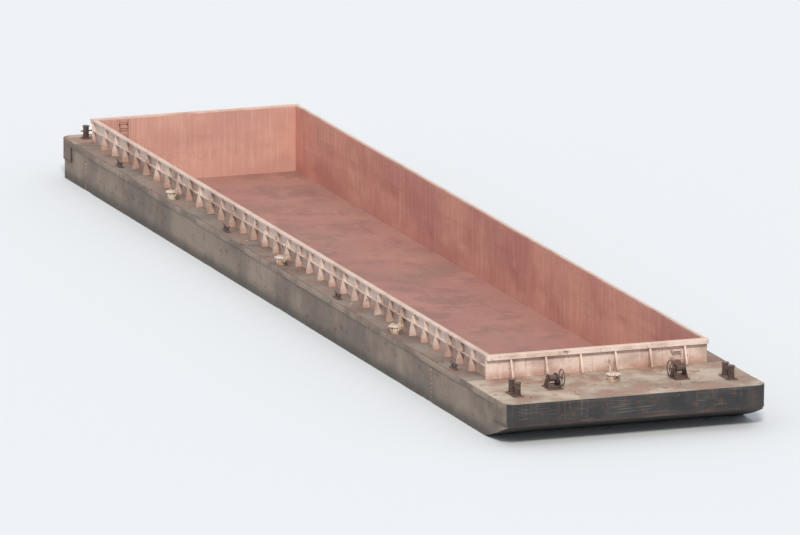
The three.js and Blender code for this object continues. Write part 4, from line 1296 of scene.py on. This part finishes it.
def add_winches():
    stand, turning = winch_frame(), winch_drum()
    for side in SIDES:
        drum, fixed = f"winch_drum_{side}", f"winch_frame_{side}"
        x, y, _ = joint(f"{drum}_turn")["pos_m"]
        place = at(x, y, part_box(fixed)[0].z, 0 if middle(drum).y > y else math.pi)
        stand.moved(place).put(f"{fixed}_built", "fitting", fixed)
        turning.moved(place).put(f"{drum}_wound", "winch_drum", drum, body=drum)


def add_ladders():
    shape = hopper_ladder()
    for end, wall, turn in (("bow", FORE_WALL_LOW.x, 0), ("stern", AFT_WALL_HIGH.x, math.pi)):
        node = f"ladder_{end}"
        shape.moved(at(wall, middle(node).y, 0, turn)).put(f"{node}_rungs", "ladder", node)


# Welds, toe bars and small things on deck

# Radii of the weld beads
COAMING_WELD = 0.0045
EDGE_WELD = 0.004
END_DECK_WELD = 0.0035


def add_welds():
    """Weld beads at the coamings' feet, along the deck's edges and across its ends."""
    shape = Shape()
    z = DECK_Z + 0.001
    fore, aft, wall = FORE_WALL_HIGH.x, AFT_WALL_LOW.x, WALL_HIGH.y
    for sign in (-1, 1):
        foot, edge = sign * (wall + 0.001), sign * (HULL_Y - 0.004)
        shape.rod((aft, foot, z), (fore, foot, z), COAMING_WELD, 8)
        shape.rod((SIDE_DECK_LOW.x, edge, z), (SIDE_DECK_HIGH.x, edge, z), EDGE_WELD, 8)
    for x in (fore + 0.001, aft - 0.001):
        shape.rod((x, -wall, z), (x, wall, z), COAMING_WELD, 8)
        for sign in (1, -1):
            shape.rod((x, sign * wall, z), (x, sign * (HULL_Y - 0.02), z), END_DECK_WELD, 8)
    shape.put("deck_welds", "deck")


TOE_BAR_THICK = 0.008
TOE_BAR_HIGH = 0.02
TOE_BAR_Y = HULL_Y - 0.012
TOE_BAR_PITCH = 1.5
SCUPPER = 0.12


def add_toe_bars():
    """Low bars along the side decks' edges, with gaps for the water to run off."""
    for side, sign in SIDES.items():
        shape = Shape()
        near, far = sign * (TOE_BAR_Y - TOE_BAR_THICK / 2), sign * (TOE_BAR_Y + TOE_BAR_THICK / 2)
        for x in np.arange(AFT_WALL_LOW.x, FORE_WALL_HIGH.x - TOE_BAR_PITCH, TOE_BAR_PITCH):
            start, end = x + SCUPPER / 2, x + TOE_BAR_PITCH - SCUPPER / 2
            shape.box((start, near, DECK_Z - 0.002), (end, far, DECK_Z + TOE_BAR_HIGH))
        shape.put(f"toe_bar_{side}", "deck", bevel=0.0015)


MANHOLE = (0.3, 0.2)
MANHOLE_NUTS = 12
MANHOLES = [(13.2, 2.0), (13.2, -2.0), (-14.5, 1.1), (-14.5, -1.1)]
SOUNDING_X = (9.4, 4.4, -2.6, -6.2, -11.8)
SOUNDING_Y = 2.72
PADEYES = [(14.45, 1.2), (14.45, -1.2), (-14.75, 1.75), (-14.75, -1.75)]


def manhole():
    """An oval cover held down by a ring of nuts."""
    shape = Shape()
    length, width = MANHOLE
    outline = rounded(length, width, width / 2 - 0.001, 9)
    shape.plate(outline, -0.002, 0.008, "z")
    shape.plate([(0.86 * x, 0.8 * y) for x, y in outline], 0.006, 0.012, "z")
    ring = arc(1.0, math.pi / MANHOLE_NUTS, math.pi * (2 + 1 / MANHOLE_NUTS), MANHOLE_NUTS)[:-1]
    shape.bolts([((length / 2 - 0.012) * x, (width / 2 - 0.012) * y) for x, y in ring], 0.008, 0.006)
    return shape


def sounding_cap():
    """A pipe's screwed cap on its collar."""
    shape = Shape()
    shape.turn([(0.034, -0.002), (0.034, 0.006), (0.03, 0.008)], 28)
    shape.turn([(0.022, 0.006), (0.022, 0.014), (0.019, 0.016)], 8)
    return shape


def padeye():
    """A plate with a hole, standing on a small pad."""
    shape = Shape()
    shape.plate(rounded(0.14, 0.07, 0.01), -0.002, 0.008, "z")
    outline = headed(0.032, 0, 0.05, -0.044, 10, (4, 5, 4))
    shape.eyed(outline, 0.014, -0.007, 0.007, at(0, 0, 0.05) @ UPRIGHT)
    return shape


def add_small_things():
    gathered = Shape()
    places = [(manhole(), x, y, 0 if x > 0 else QUARTER) for x, y in MANHOLES]
    places += [(sounding_cap(), x, y, 0) for x in SOUNDING_X for y in (-SOUNDING_Y, SOUNDING_Y)]
    places += [(padeye(), x, y, 0) for x, y in PADEYES]
    for shape, x, y, turn in places:
        gathered.take(shape.points, shape.faces, at(x, y, DECK_Z, turn))
    gathered.put("deck_covers_and_padeyes", "deck", look=LOOKS["hatch_trunk"])


# Strokes of a plain numeral, as pairs of points on a grid 2 wide and 4 high
STROKES = {
    "a": ((0, 4), (2, 4)),
    "b": ((2, 4), (2, 2)),
    "c": ((2, 2), (2, 0)),
    "d": ((0, 0), (2, 0)),
    "e": ((0, 2), (0, 0)),
    "f": ((0, 4), (0, 2)),
    "g": ((0, 2), (2, 2)),
}
NUMERALS = {"0": "abcdef", "1": "bc", "2": "abged", "4": "fgbc", "6": "afgedc", "8": "abcdefg"}
MARK_UNIT = 0.0125
MARK_STROKE = 0.0035
MARK_OVERLAP = 1.06
MARK_ADVANCE = 3.4
MARK_PLACES = (10.2, -13.3)
MARK_LEVELS = range(6, 22, 2)


def add_mark(shape, side, place, level):
    """One draft number, laid on the dented side as beads that overlap where strokes meet."""
    sign = SIDES[side]
    for i, digit in enumerate(str(level)):
        for letter in NUMERALS[digit]:
            stroke = STROKES[letter]
            middle_u, middle_v = (sum(pair) / 2 for pair in zip(*stroke))
            ends = []
            for u, v in stroke:
                x = place - sign * (middle_u + (u - middle_u) * MARK_OVERLAP + MARK_ADVANCE * i) * MARK_UNIT
                z = level * 0.1 * M + (middle_v + (v - middle_v) * MARK_OVERLAP) * MARK_UNIT
                y = HULL_Y - pressed(SIDE_DENTS[side], x, z, BILGE_R, HULL_HIGH.z, SIDE_FADE)
                ends.append((x, sign * (y + 0.0005), z))
            shape.rod(*ends, MARK_STROKE, 6)


def add_draft_marks():
    """Plain draft numbers in decimetres of the full-size barge, as weld beads on both sides."""
    shape = Shape()
    for side in SIDES:
        for place in MARK_PLACES:
            for level in MARK_LEVELS:
                add_mark(shape, side, place, level)
    shape.put("draft_marks", "hull", look=MARK_PAINT)


# Floor, light and camera

FLOOR_SIZE = 400.0
FLOOR_INSET = 0.03


def add_floor():
    """A pale floor at the waterline, open where the hull floats in it."""
    aft = CORNER_R - HULL_END
    fore = max(x for x in STATIONS["bow"] if bottom_height(x) < WATER_Z - FLOOR_INSET)
    side = HULL_Y - FLOOR_INSET
    far = FLOOR_SIZE
    rim = [(-far, -far), (far, -far), (far, far), (-far, far)]
    hole = [(aft, -side), (fore, -side), (fore, side), (aft, side)]
    mesh = bpy.data.meshes.new("floor")
    faces = [(i, (i + 1) % 4, 4 + (i + 1) % 4, 4 + i) for i in range(4)]
    mesh.from_pydata([(x, y, WATER_Z) for x, y in rim + hole], [], faces)
    floor = add_object("floor", mesh)
    paint = Paint("floor_pale", 0.8)
    paint.colour = FLOOR_PALE
    mesh.materials.append(paint.finish(grit=0.0))


def towards(azimuth, elevation):
    flat = math.cos(elevation)
    return Vector((math.sin(azimuth) * flat, -math.cos(azimuth) * flat, math.sin(elevation)))


def add_sun(name, azimuth, elevation, strength, spread, colour):
    light = bpy.data.lights.new(name, "SUN")
    light.energy = strength
    light.angle = math.radians(spread)
    light.color = colour
    direction = towards(math.radians(azimuth), math.radians(elevation))
    add_object(name, light).rotation_euler = direction.to_track_quat("Z", "Y").to_euler()


def add_sky(colour, strength):
    world = bpy.data.worlds.new("sky")
    bpy.context.scene.world = world
    world.use_nodes = True
    background = world.node_tree.nodes["Background"]
    background.inputs["Color"].default_value = colour
    background.inputs["Strength"].default_value = strength


def add_camera():
    camera = add_object("camera", bpy.data.cameras.new("camera"))
    direction = towards(VIEW_AZIMUTH, VIEW_ELEVATION)
    camera.location = VIEW_TARGET + direction * VIEW_DISTANCE
    camera.rotation_euler = direction.to_track_quat("Z", "Y").to_euler()
    camera.data.sensor_width = SENSOR
    camera.data.lens = SENSOR * VIEW_DISTANCE / VIEW_WIDTH
    camera.data.clip_start = 1.0
    camera.data.clip_end = 1000.0
    bpy.context.scene.camera = camera


for part in frame["record"]["subparts"]:
    cad_mesh = frame["nodes"][part["node"]].data
    cad_mesh.materials.clear()
    cad_mesh.materials.append(LOOKS[part["material_slot"]])
# The last number in a call is the seed of that piece's dents
for i, side in enumerate(SIDES):
    add_wing_tank(side, 10 + i)
    add_side_deck(side, 20 + i)
    add_hopper_side(side, 30 + i)
add_end_tank("bow", "bow_rake", 50)
add_end_tank("stern", "stern_tank", 51)
add_end_deck("bow", 54)
add_end_deck("stern", 55)
add_hopper_end("bow", FORE_WALL_LOW.x, FORE_WALL_HIGH.x, 70)
add_hopper_end("stern", AFT_WALL_HIGH.x, AFT_WALL_LOW.x, 71)
add_headlog("bow", 80)
add_headlog("stern", 81)
add_bottom(40)
add_hopper_floor(60)
for place in ("port", "starboard", "bow", "stern"):
    soften(frame["nodes"][f"coaming_{place}"], 0.0025)
add_rub_rail("port", 90)
add_rub_rail("starboard", 91)
add_bitts_and_kevels()
add_hatches()
add_winches()
add_ladders()
add_welds()
add_toe_bars()
add_small_things()
add_draft_marks()

add_floor()
add_sun("key", azimuth=72, elevation=38, strength=2.7, spread=10, colour=(1.0, 0.95, 0.88))
add_sky(colour=(0.88, 0.93, 1.0, 1.0), strength=0.85)
add_camera()
bpy.context.scene.view_settings.view_transform = "Standard"
